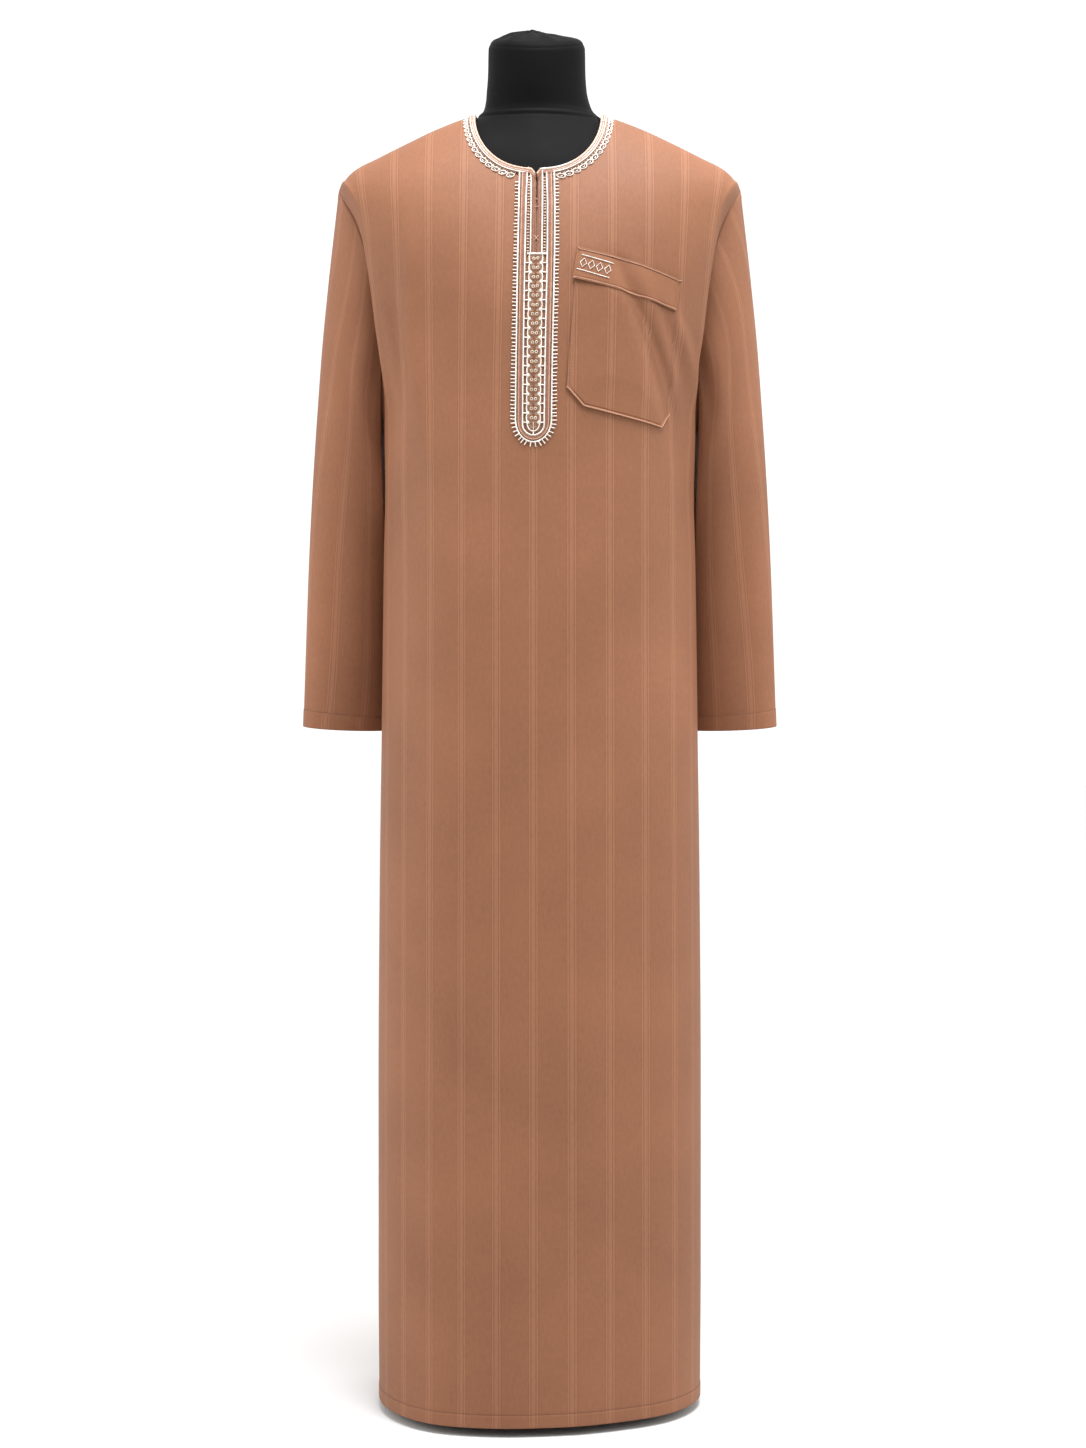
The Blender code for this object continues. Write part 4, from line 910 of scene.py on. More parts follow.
def on_cloth(out, height, panel="front", lift=0.0, surface=None):
    """Places on the robe's outer surface, or another, that far above it, and its smoothed normals there."""
    surface = surface or body_cloth
    out, height = np.broadcast_arrays(np.asarray(out, float), np.asarray(height, float))
    rough_places = hung(np.stack([out, WAY[panel] * shell_depth(out, height, panel), height], axis=-1))
    spots = rough_places.reshape(-1, 3)
    lifts = np.broadcast_to(lift, out.shape).ravel()
    made = np.zeros(spots.shape)
    normals = np.zeros(spots.shape)
    for i, spot in enumerate(spots):
        nearest = surface.find_nearest(Vector(spot))[0]
        normal = Vector()
        for across, up in ((0, 0), (1, 0), (-1, 0), (0, 1), (0, -1)):
            normal += surface.find_nearest(nearest + Vector((across * SPREAD, 0, up * SPREAD)))[1]
        normal.normalize()
        normals[i] = normal
        made[i] = nearest + normal * lifts[i]
    return made.reshape(*out.shape, 3), normals.reshape(*out.shape, 3)


def patch(table, across, down):
    """Points of a patch row by row, as out and height, between the edges that its table gives."""
    steps = np.linspace(0, len(table) - 1, down + 1)
    rows = np.array([tuple(row) for row in table])
    edges = np.stack([np.interp(steps, range(len(table)), rows[:, k]) for k in range(4)], axis=1)
    share = np.linspace(0, 1, across + 1)[None, :]
    out = edges[:, 0, None] * (1 - share) + edges[:, 2, None] * share
    height = edges[:, 1, None] * (1 - share) + edges[:, 3, None] * share
    return out, height


def edge_distance(out, height, corners):
    """How far each place is from the nearest side of a patch, whose corners go round it."""
    nearest = np.full(out.shape, 1.0)
    for (x0, y0), (x1, y1) in zip(corners, corners[1:] + corners[:1]):
        length = math.hypot(x1 - x0, y1 - y0)
        along = np.clip(((out - x0) * (x1 - x0) + (height - y0) * (y1 - y0)) / length**2, 0, 1)
        off_out, off_up = out - x0 - along * (x1 - x0), height - y0 - along * (y1 - y0)
        nearest = np.minimum(nearest, np.hypot(off_out, off_up))
    return nearest


def round_patch(table):
    """The corners of a patch, down its left side and up its right."""
    left = [(row.left_out, row.left_height) for row in table]
    return left + [(row.right_out, row.right_height) for row in reversed(table)]


def edged(inside, rise, groove):
    """How cloth stands near its edge: it is rolled over by that rise, and its stitches lie in that groove."""
    rolled = rise * np.clip(1 - inside / PIPING, 0, 1) ** 0.5
    return rolled - groove * np.exp(-(((inside - GROOVE_IN) / GROOVE_HALF) ** 2))


def sewn_patch(name, out, height, flat_out, lift, thickness, finish):
    """A patch laid on the front, and its outer surface."""
    places, _ = on_cloth(out, height, lift=lift)
    flat = np.stack([flat_out, height], axis=-1)
    made = joined(name, [laid_cloth(name, places[::-1], flat[::-1])])
    surface = surface_of(made)
    thickened(made, thickness)
    give(made, finish)
    return made, surface


pocket_corners = round_patch(POCKET)
out, height = patch(POCKET, POCKET_COLUMNS, POCKET_ROWS)
inside = edge_distance(out, height, pocket_corners)
foot_line = POCKET[1].left_height + FOOT_MARGIN
near_foot = np.clip((foot_line - height - (out - POCKET[1].left_out) * FOOT_SLOPE) / FOOT_BAND, 0, 1)
turned_in = edged(inside, rise=0.0003 + 0.0007 * near_foot, groove=0.0003 + 0.0003 * near_foot)
belly = BELLY * np.clip((inside - BELLY_MARGIN) / BELLY_REACH, 0, 1) ** 1.5
pocket_lift = POCKET_LIFT + turned_in + belly
flat_out = cloth_out(out, height, "front")
pocket, pocket_surface = sewn_patch("chest_pocket", out, height, flat_out, pocket_lift, POCKET_CLOTH, twill)
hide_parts("pocket")

plain_twill = woven("caramel_twill_plain", (0.275, 0.115, 0.057), (0.190, 0.079, 0.039), striped=False)
out, height = patch(POCKET_BAND, BAND_COLUMNS, BAND_ROWS)
across = np.linspace(0, 1, BAND_COLUMNS + 1)[None, :]
down = np.linspace(0, 1, BAND_ROWS + 1)[:, None]
height = height + BAND_BOW * np.sin(np.pi * across)
band_corners = round_patch(POCKET_BAND)
(band_left, band_top), (band_foot, band_low), (right_foot, right_low), (band_right, right_top) = band_corners
fall = np.hypot(band_left - band_foot, band_top - band_low)
from_edge = np.minimum(np.minimum(down, 1 - down) * fall, np.minimum(across, 1 - across) * BAND_LENGTH)
band_lift = BAND_LIFT + edged(from_edge, rise=0.0007, groove=0.0006)
band, band_surface = sewn_patch("chest_pocket_band", out, height, out, band_lift, BAND_CLOTH, plain_twill)
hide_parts("pocket_band")

# The dress form's cover.
# A black stretch jersey skin over the form's chest and neck, a little inside the robe that rests on it.
# A seam with a raised edge runs round the root of the neck, and the end is gathered on top into folds that
# meet in a small tuft.

FORM = named_rows(
    "height half_width front back",
    (0.7900, 0.0000, 0.0000, 0.0000),
    (0.7900, 0.1200, 0.0900, 0.0850),
    (0.7930, 0.1370, 0.1060, 0.0990),
    (0.7990, 0.1480, 0.1155, 0.1072),
    (0.8120, 0.1540, 0.1200, 0.1110),
    (0.8700, 0.1570, 0.1226, 0.1132),
    (0.9300, 0.1600, 0.1250, 0.1150),
    (1.0300, 0.1660, 0.1290, 0.1200),
)
NECK = named_rows(
    "height half_width front back lean",
    (1.4490, 0.0694, 0.0530, 0.0530, 0.00),
    (1.4520, 0.0668, 0.0527, 0.0527, 0.00),
    (1.4555, 0.0634, 0.0525, 0.0525, 0.00),
    (1.4635, 0.0600, 0.0530, 0.0530, 0.00),
    (1.4780, 0.0573, 0.0540, 0.0540, 0.04),
    (1.5000, 0.0556, 0.0545, 0.0545, 0.12),
    (1.5300, 0.0549, 0.0540, 0.0540, 0.29),
    (1.5345, 0.0530, 0.0522, 0.0522, 0.30),
)
NECK_SHIFT = -0.0022  # the neck stands this far to the wearer's right, in full this far above its root
NECK_SHIFT_RISE = 0.030
NECK_INDEX = 24  # the cover's column at the shoulder end of the neckline
NECK_BEND = 1.4640  # its rows lie closer together below this height
CLOSED_SHARES = (0.6, 0.2, 0.0)  # the sizes of its last rings, which close the top under the gathered end
FORM_CLEARANCE = 0.0021
CLEARING_PASSES = 4
CLEARING_REACH = 0.02  # cloth farther off than this is another part of the robe
ARMPLATE_INSET = 0.0060  # a plate closes each armhole, this far inside its seam and this share as deep
ARMPLATE_SHARE = 0.82
ARMPLATE_COLUMNS = 9
FORM_ROWS = 40
NECK_STEP = 0.0025
ROOT_ROWS = 64
# The curve from the chest to the neck, as shares of its reach: how far it runs on up the chest's slope, how far
# below the neck it comes in, and how far out towards the chest.
ROOT_LEAVE, ROOT_ARRIVE, ROOT_SPREAD = 0.35, 0.12, 0.25
SEAM_HEIGHT = 1.4486
SEAM_DIP = 0.0060  # the seam hangs this much lower in front than at the sides
SEAM_DROP = {1: 0.0042, -1: 0.0012}  # and this much lower at the wearer's left and right
SEAM_GROOVE, GROOVE_WIDTH = 0.0009, 0.0008
SEAM_RIDGE = 0.0042  # a soft ridge lies this far above the groove
RIDGE_RISE, RIDGE_WIDTH = 0.0010, 0.0019
SEAM_FADE = 0.003  # its relief grows over this distance from the chest's edge


def shifted(points):
    """Places of the form's neck, moved to the side it stands on."""
    moved = points.copy()
    moved[..., 0] += NECK_SHIFT * np.clip((points[..., 2] - NECK[0].height) / NECK_SHIFT_RISE, 0, 1)
    return moved


def form_section_row(section, count):
    """One level half ring of the form, from its centre front round to its centre back."""
    turn = np.pi * np.arange(count) / (count - 1)
    power = 2 / SQUARENESS
    side = np.sign(np.cos(turn)) * np.abs(np.cos(turn)) ** power
    depth = np.where(side > 0, -section.front, section.back) * np.abs(side)
    out = section.half_width * np.sin(turn) ** power
    return np.stack([out, depth, np.full(count, section.height)], axis=1)


def drawn_inside(rows):
    """Rows of a half body in place, drawn in along their normals until they clear the robe."""
    along = np.gradient(rows, axis=1)
    up = np.gradient(rows, axis=0)
    normals = np.cross(along, up)
    normals /= np.maximum(np.linalg.norm(normals, axis=2), 1e-9)[:, :, None]
    normals[:, [0, -1], 0] = 0
    depth = np.full(rows.shape[:2], FORM_CLEARANCE)
    for _ in range(CLEARING_PASSES):
        inner = hung(rows - normals * depth[:, :, None])
        for i, j in np.ndindex(depth.shape):
            place = Vector(inner[i, j])
            nearest, normal, _, _ = body_cloth.find_nearest(place)
            short = FORM_CLEARANCE + (place - nearest) @ normal
            if short > 0 and (place - nearest).length < CLEARING_REACH:
                depth[i, j] += short
    depth[:, :3] = depth[:, 3:4]  # the slit's edges do not count
    return rows - normals * depth[:, :, None]


def denser(line, values):
    """A line with more points where its own stand apart, and the values that belong to them."""
    steps = [max(1, math.ceil(np.linalg.norm(b - a) / NECK_STEP)) for a, b in zip(line, line[1:])]
    at = np.concatenate([k + np.arange(count) / count for k, count in enumerate(steps)] + [[len(line) - 1]])
    return [np.stack([np.interp(at, range(len(line)), column) for column in table.T], axis=1)
            for table in (line, values)]


def torso_half():
    """The form's wearer's-left half, from its foot up to its shoulder and the root of its neck. Its chest has
    every third row and second column of the robe's."""
    front, back = (half_panel(panel)[len(SKIRT_ROWS)::3, :RIDGE_INDEX + 1:2] for panel in ("front", "back"))
    heights = front[:, -1, 2]
    seam_out, seam_front, seam_back = (
        smooth(ARMHOLE, "height", key, heights)[:, None] for key in ("seam_out", "seam_front", "seam_back"))
    share = np.linspace(-ARMPLATE_SHARE, ARMPLATE_SHARE, ARMPLATE_COLUMNS)[None, :]
    plate = np.stack(np.broadcast_arrays(
        seam_out - ARMPLATE_INSET, np.where(share < 0, share * seam_front, share * seam_back), heights[:, None]),
        axis=-1)
    torso = drawn_inside(np.concatenate([front, plate, back[:, ::-1]], axis=1))
    count = torso.shape[1]
    tip = slice(front.shape[1], front.shape[1] + plate.shape[1])
    torso[-1, tip] = torso[-1, tip].mean(axis=0)
    shoulder = slice(NECK_INDEX, count - NECK_INDEX)
    torso[-1, shoulder] = (torso[-1, shoulder] + torso[-1, shoulder][::-1]) / 2
    sections = np.array([form_section_row(section, count) for section in FORM])
    steps = np.linspace(0, len(FORM) - 1, FORM_ROWS)[:, None, None]
    below = np.minimum(steps.astype(int), len(FORM) - 2)
    share, below = steps - below, below[:, 0, 0]
    return np.concatenate([sections[below] * (1 - share) + sections[below + 1] * share, torso])


def neck_ring(height, angle):
    """One ring of the neck, at those angles from its front. It slopes where the neck leans."""
    half_width, front, back, lean = (
        float(smooth(NECK, "height", key, height)) for key in ("half_width", "front", "back", "lean"))
    depth = -np.where(np.cos(angle) > 0, front, back) * np.cos(angle)
    return np.stack([half_width * np.sin(angle), depth, height + lean * depth], axis=1)


def neck_half(torso):
    """The neck's wearer's-left half, from the torso's upper edge up to its closed top, and its rows' angles."""
    around = list(range(NECK_INDEX + 1)) + list(range(torso.shape[1] - NECK_INDEX - 1, torso.shape[1]))
    edge = torso[-1, around]
    base, rise = denser(edge, edge - torso[-2, around])
    edge = edge[np.argmin(np.linalg.norm(base[:, None] - edge[None], axis=2), axis=1)]
    angle = np.arctan2(base[:, 0] / NECK[0].half_width, -base[:, 1] / NECK[0].front)
    angle[0], angle[-1] = 0, math.pi
    root = neck_ring(NECK[0].height, angle)
    reach = np.linalg.norm(root - base, axis=1)[:, None]
    leave = base + rise / np.linalg.norm(rise, axis=1)[:, None] * reach * ROOT_LEAVE
    arrive = root - np.array([0, 0, 1]) * reach * ROOT_ARRIVE + (base - root) * ROOT_SPREAD
    neck = [edge]
    for t in np.linspace(0, 1, ROOT_ROWS)[1:]:
        bend = leave * 3 * t * (1 - t) ** 2 + arrive * 3 * t * t * (1 - t)
        neck.append(base * (1 - t) ** 3 + bend + root * t**3)
    for low, high, count in ((NECK[0].height, NECK_BEND, 26), (NECK_BEND, NECK[-1].height, 30)):
        neck += [neck_ring(height, angle) for height in np.linspace(low, high, count)[1:]]
    last = neck[-1]
    for share in CLOSED_SHARES:
        raised = np.array([0, 0, 1]) * (NECK[-1].height - last[:, 2:]) * (1 - share)
        neck.append(last * np.array([share, share, 1]) + raised)
    return np.array(neck), angle


def seamed(neck, angle, side):
    """The neck's rows with the seam's groove and the soft ridge above it."""
    lowered = SEAM_DIP * np.clip(np.cos(angle), 0, 1) ** 1.5 + SEAM_DROP[side] * np.sin(angle) ** 2
    up = neck[:, :, 2] - SEAM_HEIGHT + lowered
    rise = RIDGE_RISE * np.exp(-(((up - SEAM_RIDGE) / RIDGE_WIDTH) ** 2))
    rise -= SEAM_GROOVE * np.exp(-((up / GROOVE_WIDTH) ** 2))
    rise *= np.clip(np.linalg.norm(neck - neck[0], axis=2) / SEAM_FADE, 0, 1)
    outward = np.stack([np.sin(angle), -np.cos(angle), np.zeros(len(angle))], axis=1)
    return neck + rise[:, :, None] * outward


def skin(name, grids):
    """Grids of places made one closed piece, with a UV map in metres."""
    made = []
    for places in grids:
        flat = np.stack([travelled(places, axis=1), travelled(places)], axis=-1)
        made.append(laid_cloth("skin", places, flat))
    return joined(name, made)


WALE, COURSE = 0.0011, 0.0014  # the knit's pitches
jersey = Finish("black_jersey", Sheen_Weight=0.02, Sheen_Roughness=0.35, Specular_IOR_Level=0.04)
jersey.put(jersey.shader.inputs["Sheen Tint"], (0.62, 0.60, 0.62))
wale_across, course_up, _ = jersey.split(jersey.along())
ribs = (wale_across * (2 * math.pi / WALE)).wave() * 0.5 + (course_up * (2 * math.pi / COURSE)).wave() * 0.3
fuzz = jersey.noise(jersey.place(), 900.0, detail=3.0)
cloud = jersey.noise(jersey.place(), 22.0, detail=2.0)
jersey.colour(jersey.mixed(fuzz * 0.6 + cloud * 0.4, (0.0026, 0.0024, 0.0025), (0.0050, 0.0047, 0.0048)))
jersey.rough(cloud * 0.16 + 0.54)
jersey.bump(ribs * 0.5 + fuzz * 0.7, 0.00016, 0.5)

torso = torso_half()
neck, angle = neck_half(torso)
grids = []
for left, right in ((torso, torso), (seamed(neck, angle, 1), seamed(neck, angle, -1))):
    grids.append(hung(shifted(left)))
    grids.append(hung(shifted(right * np.array([-1, 1, 1])))[:, ::-1])
cover = skin("form_cover", grids)
give(cover, jersey)
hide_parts("form_body")

CAP = named_rows(
    "radius height",
    (0.0534, -0.0030),
    (0.0530, 0.0004),
    (0.0518, 0.0028),
    (0.0490, 0.0054),
    (0.0400, 0.0092),
    (0.0285, 0.0121),
    (0.0150, 0.0134),
    (0.0075, 0.0136),
)
CAP_FOLDS = named_rows(
    "turn width rise reach",
    (2, 50, -0.0036, 0.85),
    (42, 11, 0.0008, 0.80),
    (84, 12, 0.0010, 1.00),
    (128, 9, 0.0018, 0.85),
    (160, 11, 0.0012, 0.90),
    (201, 10, 0.0024, 0.95),
    (233, 9, 0.0030, 1.00),
    (262, 8, 0.0025, 0.75),
    (289, 10, 0.0030, 1.00),
    (326, 11, 0.0014, 0.85),
)
CAP_GROWTH = 0.35  # a fold is whole this share of the cap's radius further in than its start
CAP_MIDDLE, MIDDLE_FADE = 0.003, 0.009  # the folds end at this radius, and are whole this much further out
CAP_TROUGH, CAP_TROUGH_OFF = 0.35, 1.8
CAP_TUFT = (-0.0032, 0.0010)  # the tuft stands this far off the middle
CAP_SEGMENTS = 144
CAP_RINGS = 46
TUFT_HEIGHT = 0.0036
TUFT_RADIUS = 0.0075
TUFT_LEAN = 0.0030
TUFT_PLEATS, PLEAT_DEPTH = 5, 0.20
TUFT_RINGS = ((0.92, 0.10), (0.74, 0.30), (0.55, 0.55), (0.38, 0.80), (0.18, 0.96), (0.0, 1.0))  # size, height


def cap_places():
    """The gathered end of the cover, from its foot over the folds to the tuft in the middle."""
    turns = np.linspace(0, 360, CAP_SEGMENTS + 1)
    across, back = np.cos(np.radians(turns)), np.sin(np.radians(turns))
    radii = np.array([ring.radius for ring in CAP])
    heights = np.array([ring.height for ring in CAP])
    along = travelled(np.stack([radii, heights], axis=1))
    rows = []
    for at in np.linspace(0, along[-1], CAP_RINGS):
        radius, height = np.interp(at, along, radii), np.interp(at, along, heights)
        inward = 1 - radius / radii.max()
        rise = np.zeros(len(turns))
        for fold in CAP_FOLDS:
            off = ((turns - fold.turn + 180) % 360 - 180) / fold.width
            grown = np.clip((inward - 1 + fold.reach) / CAP_GROWTH, 0, 1)
            grown *= np.clip((radius - CAP_MIDDLE) / MIDDLE_FADE, 0, 1)
            shape = np.exp(-(off**2)) - CAP_TROUGH * np.exp(-((off - CAP_TROUGH_OFF) ** 2))
            rise += fold.rise * grown * shape
        middle = inward**2
        rows.append(np.stack([radius * across + CAP_TUFT[0] * middle, radius * back + CAP_TUFT[1] * middle,
                              height + rise], axis=1))
    root = rows[-1].mean(0)
    for share, up in TUFT_RINGS:
        radius = TUFT_RADIUS * share * (1 + PLEAT_DEPTH * np.cos(np.radians(turns) * TUFT_PLEATS) * share)
        rows.append(np.stack([root[0] - TUFT_LEAN * up + radius * across, root[1] + radius * 0.7 * back,
                              np.full(len(turns), root[2] + TUFT_HEIGHT * up)], axis=1))
    places = np.array(rows)
    places[:, :, 2] += NECK[-1].height + NECK[-1].lean * places[:, :, 1]
    places = hung(shifted(places))
    return np.concatenate([np.broadcast_to(places[:1].mean(1, keepdims=True), places[:1].shape), places])


cap = skin("form_cover_end", [cap_places()])
give(cap, jersey)
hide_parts("form_cap")

# The stand.
# A steel pole and a round steel base plate with a boss, all in satin black paint.
# The robe hides them in the photo.

steel = Finish("satin_black_paint", Metallic=0.0, Coat_Weight=0.35, Coat_Roughness=0.22)
scuffs = steel.noise(steel.place(), 60.0, detail=4.0)
peel = steel.noise(steel.place(), 420.0, detail=2.0)
steel.colour(steel.mixed(scuffs.clipped(0.45, 0.75), (0.012, 0.012, 0.013), (0.028, 0.028, 0.030)))
steel.rough(scuffs.clipped(0.35, 0.75, 0.34, 0.52))
steel.bump(peel, 0.00012, 0.35)
for name in ("form_pole", "form_base"):
    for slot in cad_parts[name].material_slots:
        slot.material = steel.material

# The neck trim.
# A tape of brown satin sewn round the neckline, its inner edge rolled over a cord. Two white cords are couched
# along it, and a machine-made lace of looped white thread follows its outer edge.

MEASURED_OFF = 0.006  # lengths along the neckline are measured this far out from it
TRIM_REACH = 0.0170
QUARTER_COLUMNS = 80


class Ground:
    """Part of the robe's surface as a grid over a flat pattern, for tape and thread to lie on."""

    def __init__(self, xs, ys, places, normals):
        self.xs = xs
        self.ys = ys
        self.places = places
        self.normals = normals

    def at(self, x, y, lift):
        """Where the pattern's places are on the robe, that far above it."""
        x, y, lift = np.broadcast_arrays(*(np.asarray(values, float) for values in (x, y, lift)))
        i = np.clip(np.searchsorted(self.xs, x, side="right") - 1, 0, len(self.xs) - 2)
        j = np.clip(np.searchsorted(self.ys, y, side="right") - 1, 0, len(self.ys) - 2)
        p = ((x - self.xs[i]) / (self.xs[i + 1] - self.xs[i]))[..., None]
        q = ((y - self.ys[j]) / (self.ys[j + 1] - self.ys[j]))[..., None]
        spots = []
        for grid in (self.places, self.normals):
            low = grid[j, i] * (1 - p) + grid[j, i + 1] * p
            high = grid[j + 1, i] * (1 - p) + grid[j + 1, i + 1] * p
            spots.append(low * (1 - q) + high * q)
        return spots[0] + spots[1] * lift[..., None]


def neck_ground():
    """The robe round its neckline. x is the distance along it from the centre front, and y is how far out."""
    offsets = np.concatenate([[0.0], np.linspace(0.0006, TRIM_REACH, 14)])
    turns = np.linspace(0, math.pi / 2, QUARTER_COLUMNS)
    strips = []
    for panel, side in (("back", -1), ("front", -1), ("front", 1), ("back", 1)):
        out, height = neckline(turns[None, :], panel, offsets[:, None])
        strip = np.stack(on_cloth(side * out, height, panel))[:, :, ::-WAY[panel] * side]
        strips.append(strip[:, :, min(len(strips), 1):])
    places, normals = np.concatenate(strips, axis=2)
    along = travelled(places[np.argmin(np.abs(offsets - MEASURED_OFF))])
    return Ground(along - along[2 * QUARTER_COLUMNS - 2], offsets, places, normals)


def cords(name, lines, radius, finish, sides=6):
    """Round cords through places in space. Each line is its places and whether it is a closed loop."""
    curve = bpy.data.curves.new(name, "CURVE")
    curve.dimensions = "3D"
    curve.bevel_depth = radius
    curve.bevel_resolution = (sides - 4) // 2
    curve.use_fill_caps = True
    for places, closed in lines:
        spline = curve.splines.new("POLY")
        spline.points.add(len(places) - 1)
        spline.points.foreach_set("co", np.concatenate([places, np.ones((len(places), 1))], axis=1).ravel())
        spline.use_cyclic_u = closed
        spline.use_smooth = True
    made = bpy.data.objects.new(name, curve)
    bpy.context.collection.objects.link(made)
    bpy.ops.object.select_all(action="DESELECT")
    made.select_set(True)
    bpy.context.view_layer.objects.active = made
    bpy.ops.object.convert(target="MESH")
    made = named(name)
    give(made, finish)
    return made


def threads(name, runs, radius, finish, ground, sides=6):
    """Threads laid on the robe. Each run is its x, y and lift, and whether it is a closed loop. A plain number
    among them holds for the whole run."""
    lines = [(ground.at(x, y, lift), closed) for x, y, lift, closed in runs]
    return cords(name, lines, radius, finish, sides)


def tape(name, x, y, lift, thickness, finish, ground, slot="brown_braid"):
    """A thin tape laid on the robe over a grid of pattern places, with the pattern as its UV map."""
    made = joined(name, [laid_cloth("tape", ground.at(x, y, lift), np.stack([x, y], axis=-1))])
    thickened(made, thickness)
    give(made, finish)
    return made


def yarn(name, light, dark, pitch, roughness=0.62, sheen=0.20):
    """Twisted thread: a fine speckle of its plies, with a painted highlight that makes their raised crowns
    lighter, and uneven wear.
    """
    made = Finish(name, Roughness=roughness, Sheen_Weight=sheen, Sheen_Roughness=0.4, Specular_IOR_Level=0.3)
    spot = made.place()
    plies = made.noise(made.stretched(spot, 1 / pitch, 1 / pitch, 1 / pitch), 1.0, roughness=0.6)
    wear = made.noise(spot, 160.0)
    # The ply noise both raises the crowns and lightens them, a painted highlight; the wear noise is the thread's
    # own uneven tone.
    made.colour(made.mixed((plies * 0.7 + wear * 0.3).clipped(0.30, 0.66), dark, light))
    made.bump(plies, 0.00018, 0.6)
    return made


white_yarn = yarn("white_cotton_thread", (0.76, 0.73, 0.685), (0.48, 0.42, 0.36), 0.0012)
cream_yarn = yarn("cream_cotton_thread", (0.66, 0.56, 0.46), (0.42, 0.31, 0.22), 0.0010)
peach_satin = yarn("peach_satin_roll", (0.60, 0.42, 0.32), (0.42, 0.26, 0.18), 0.0016, roughness=0.45)
tan_yarn = yarn("tan_rayon_cord", (0.44, 0.255, 0.17), (0.30, 0.155, 0.095), 0.0011, roughness=0.48)
brown_yarn = yarn("brown_rayon_cord", (0.28, 0.130, 0.080), (0.18, 0.078, 0.045), 0.0011, roughness=0.48)
rosette_brown = yarn("rosette_brown_thread", (0.235, 0.094, 0.045), (0.150, 0.056, 0.026), 0.0009)
dark_yarn = yarn("dark_brown_rayon_cord", (0.150, 0.058, 0.028), (0.085, 0.032, 0.015), 0.0011, roughness=0.50)

WEFT_PITCH = 0.00075
satin = Finish("brown_satin_tape", Roughness=0.46, Sheen_Weight=0.10, Specular_IOR_Level=0.30)
satin_x, satin_y, _ = satin.split(satin.along())
satin_weft = ((satin_x + satin_y) * (2 * math.pi / WEFT_PITCH)).wave()
satin_slub = satin.noise(satin.stretched(satin.along(), 900, 900), 1.0)
satin.colour(satin.mixed((satin_slub * 0.8 + satin_weft * 0.1).clipped(0.2, 0.6),
                         (0.150, 0.064, 0.033), (0.250, 0.112, 0.062)))
satin.bump(satin_weft * 0.4 + satin_slub * 0.6, 0.00016, 0.5)

BRAID_INSET = 0.0003
TAPE_WIDTH = 0.0070
TAPE_LIFT = 0.0003
TAPE_THICKNESS = 0.0008
SLIT_EDGE = 0.0010  # the tape ends this far from the centre, and the threads of its edge this far
EDGE_START = SLIT_EDGE + 0.0006
PLACKET_EDGE = 0.0197  # from the centre to the middle of the placket's outer white cord
NOTCH_WIDTH = 0.0056
neck = neck_ground()
NECK_END = float(neck.xs[-1])


def notch(x):
    """How far the tape is turned back from the neckline beside the slit."""
    return NOTCH * np.clip(1 - np.abs(x) / NOTCH_WIDTH, 0, 1)


def round_back(x):
    """Distances along the neckline, with those past its end at the centre back carried on from its other end."""
    return np.where(x > NECK_END, x - 2 * NECK_END, x)


def round_neck(start, offset, lift, step=0.0025, end=None):
    """A line that follows the neckline from the left side of the slit round the back to the right side."""
    span = 2 * NECK_END - start - (start if end is None else end)
    x = round_back(start + np.linspace(0, span, math.ceil(span / step)))
    return x, offset + notch(x), lift, False


x = round_neck(SLIT_EDGE, 0, 0, step=0.0022)[0]
across = np.linspace(BRAID_INSET, TAPE_WIDTH, 6)[:, None]
grid = np.broadcast_arrays(x[None, :], across + notch(x)[None, :])
neck_band = tape("neck_tape", *grid, TAPE_LIFT + TAPE_THICKNESS, TAPE_THICKNESS, satin, neck)
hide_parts("neck_braid")
neck_roll = round_neck(EDGE_START, offset=0.0013, lift=0.0011)
inner_cord = round_neck(PLACKET_EDGE, offset=0.0036, lift=0.0013, end=0.0085)
outer_cord = round_neck(PLACKET_EDGE - 0.0004, offset=0.0057, lift=0.0013, end=0.0122)
dark_cords = [round_neck(EDGE_START, offset=0.0026, lift=0.0008),
              round_neck(PLACKET_EDGE, offset=0.0047, lift=0.0009)]
white_edge = (np.linspace(0.0055, 0.0450, 30), 0.0014, 0.0017, False)
picot = ((-0.0086, -0.0092, -0.0098), (0.0012, -0.0006, 0.0012), (0.0018, 0.0016, 0.0018), False)
threads("neck_rolled_edge", [neck_roll], 0.00125, peach_satin, neck, sides=8)
threads("neck_cord_inner", [inner_cord], 0.00070, white_yarn, neck)
threads("neck_cord_outer", [outer_cord], 0.00085, white_yarn, neck)
threads("neck_edge_white", [white_edge], 0.00105, white_yarn, neck)
threads("neck_picot", [picot], 0.00050, cream_yarn, neck)
threads("neck_cord_brown", dark_cords, 0.00045, dark_yarn, neck)

LACE_START = 0.0225
LOOP_PITCH = 0.0088
LOOP_OFF = 0.0112  # how far out the middles of the loops are, and those of the small ones
MESH_OFF = 0.0081
LACE_SHADE_SHARE = (0.50, 0.42)  # the dark ring painted as shade inside a loop, as shares of the loop's length and width


def full_turn(count):
    """So many angles round a closed loop."""
    return np.linspace(0, 2 * math.pi, count + 1)[:-1]


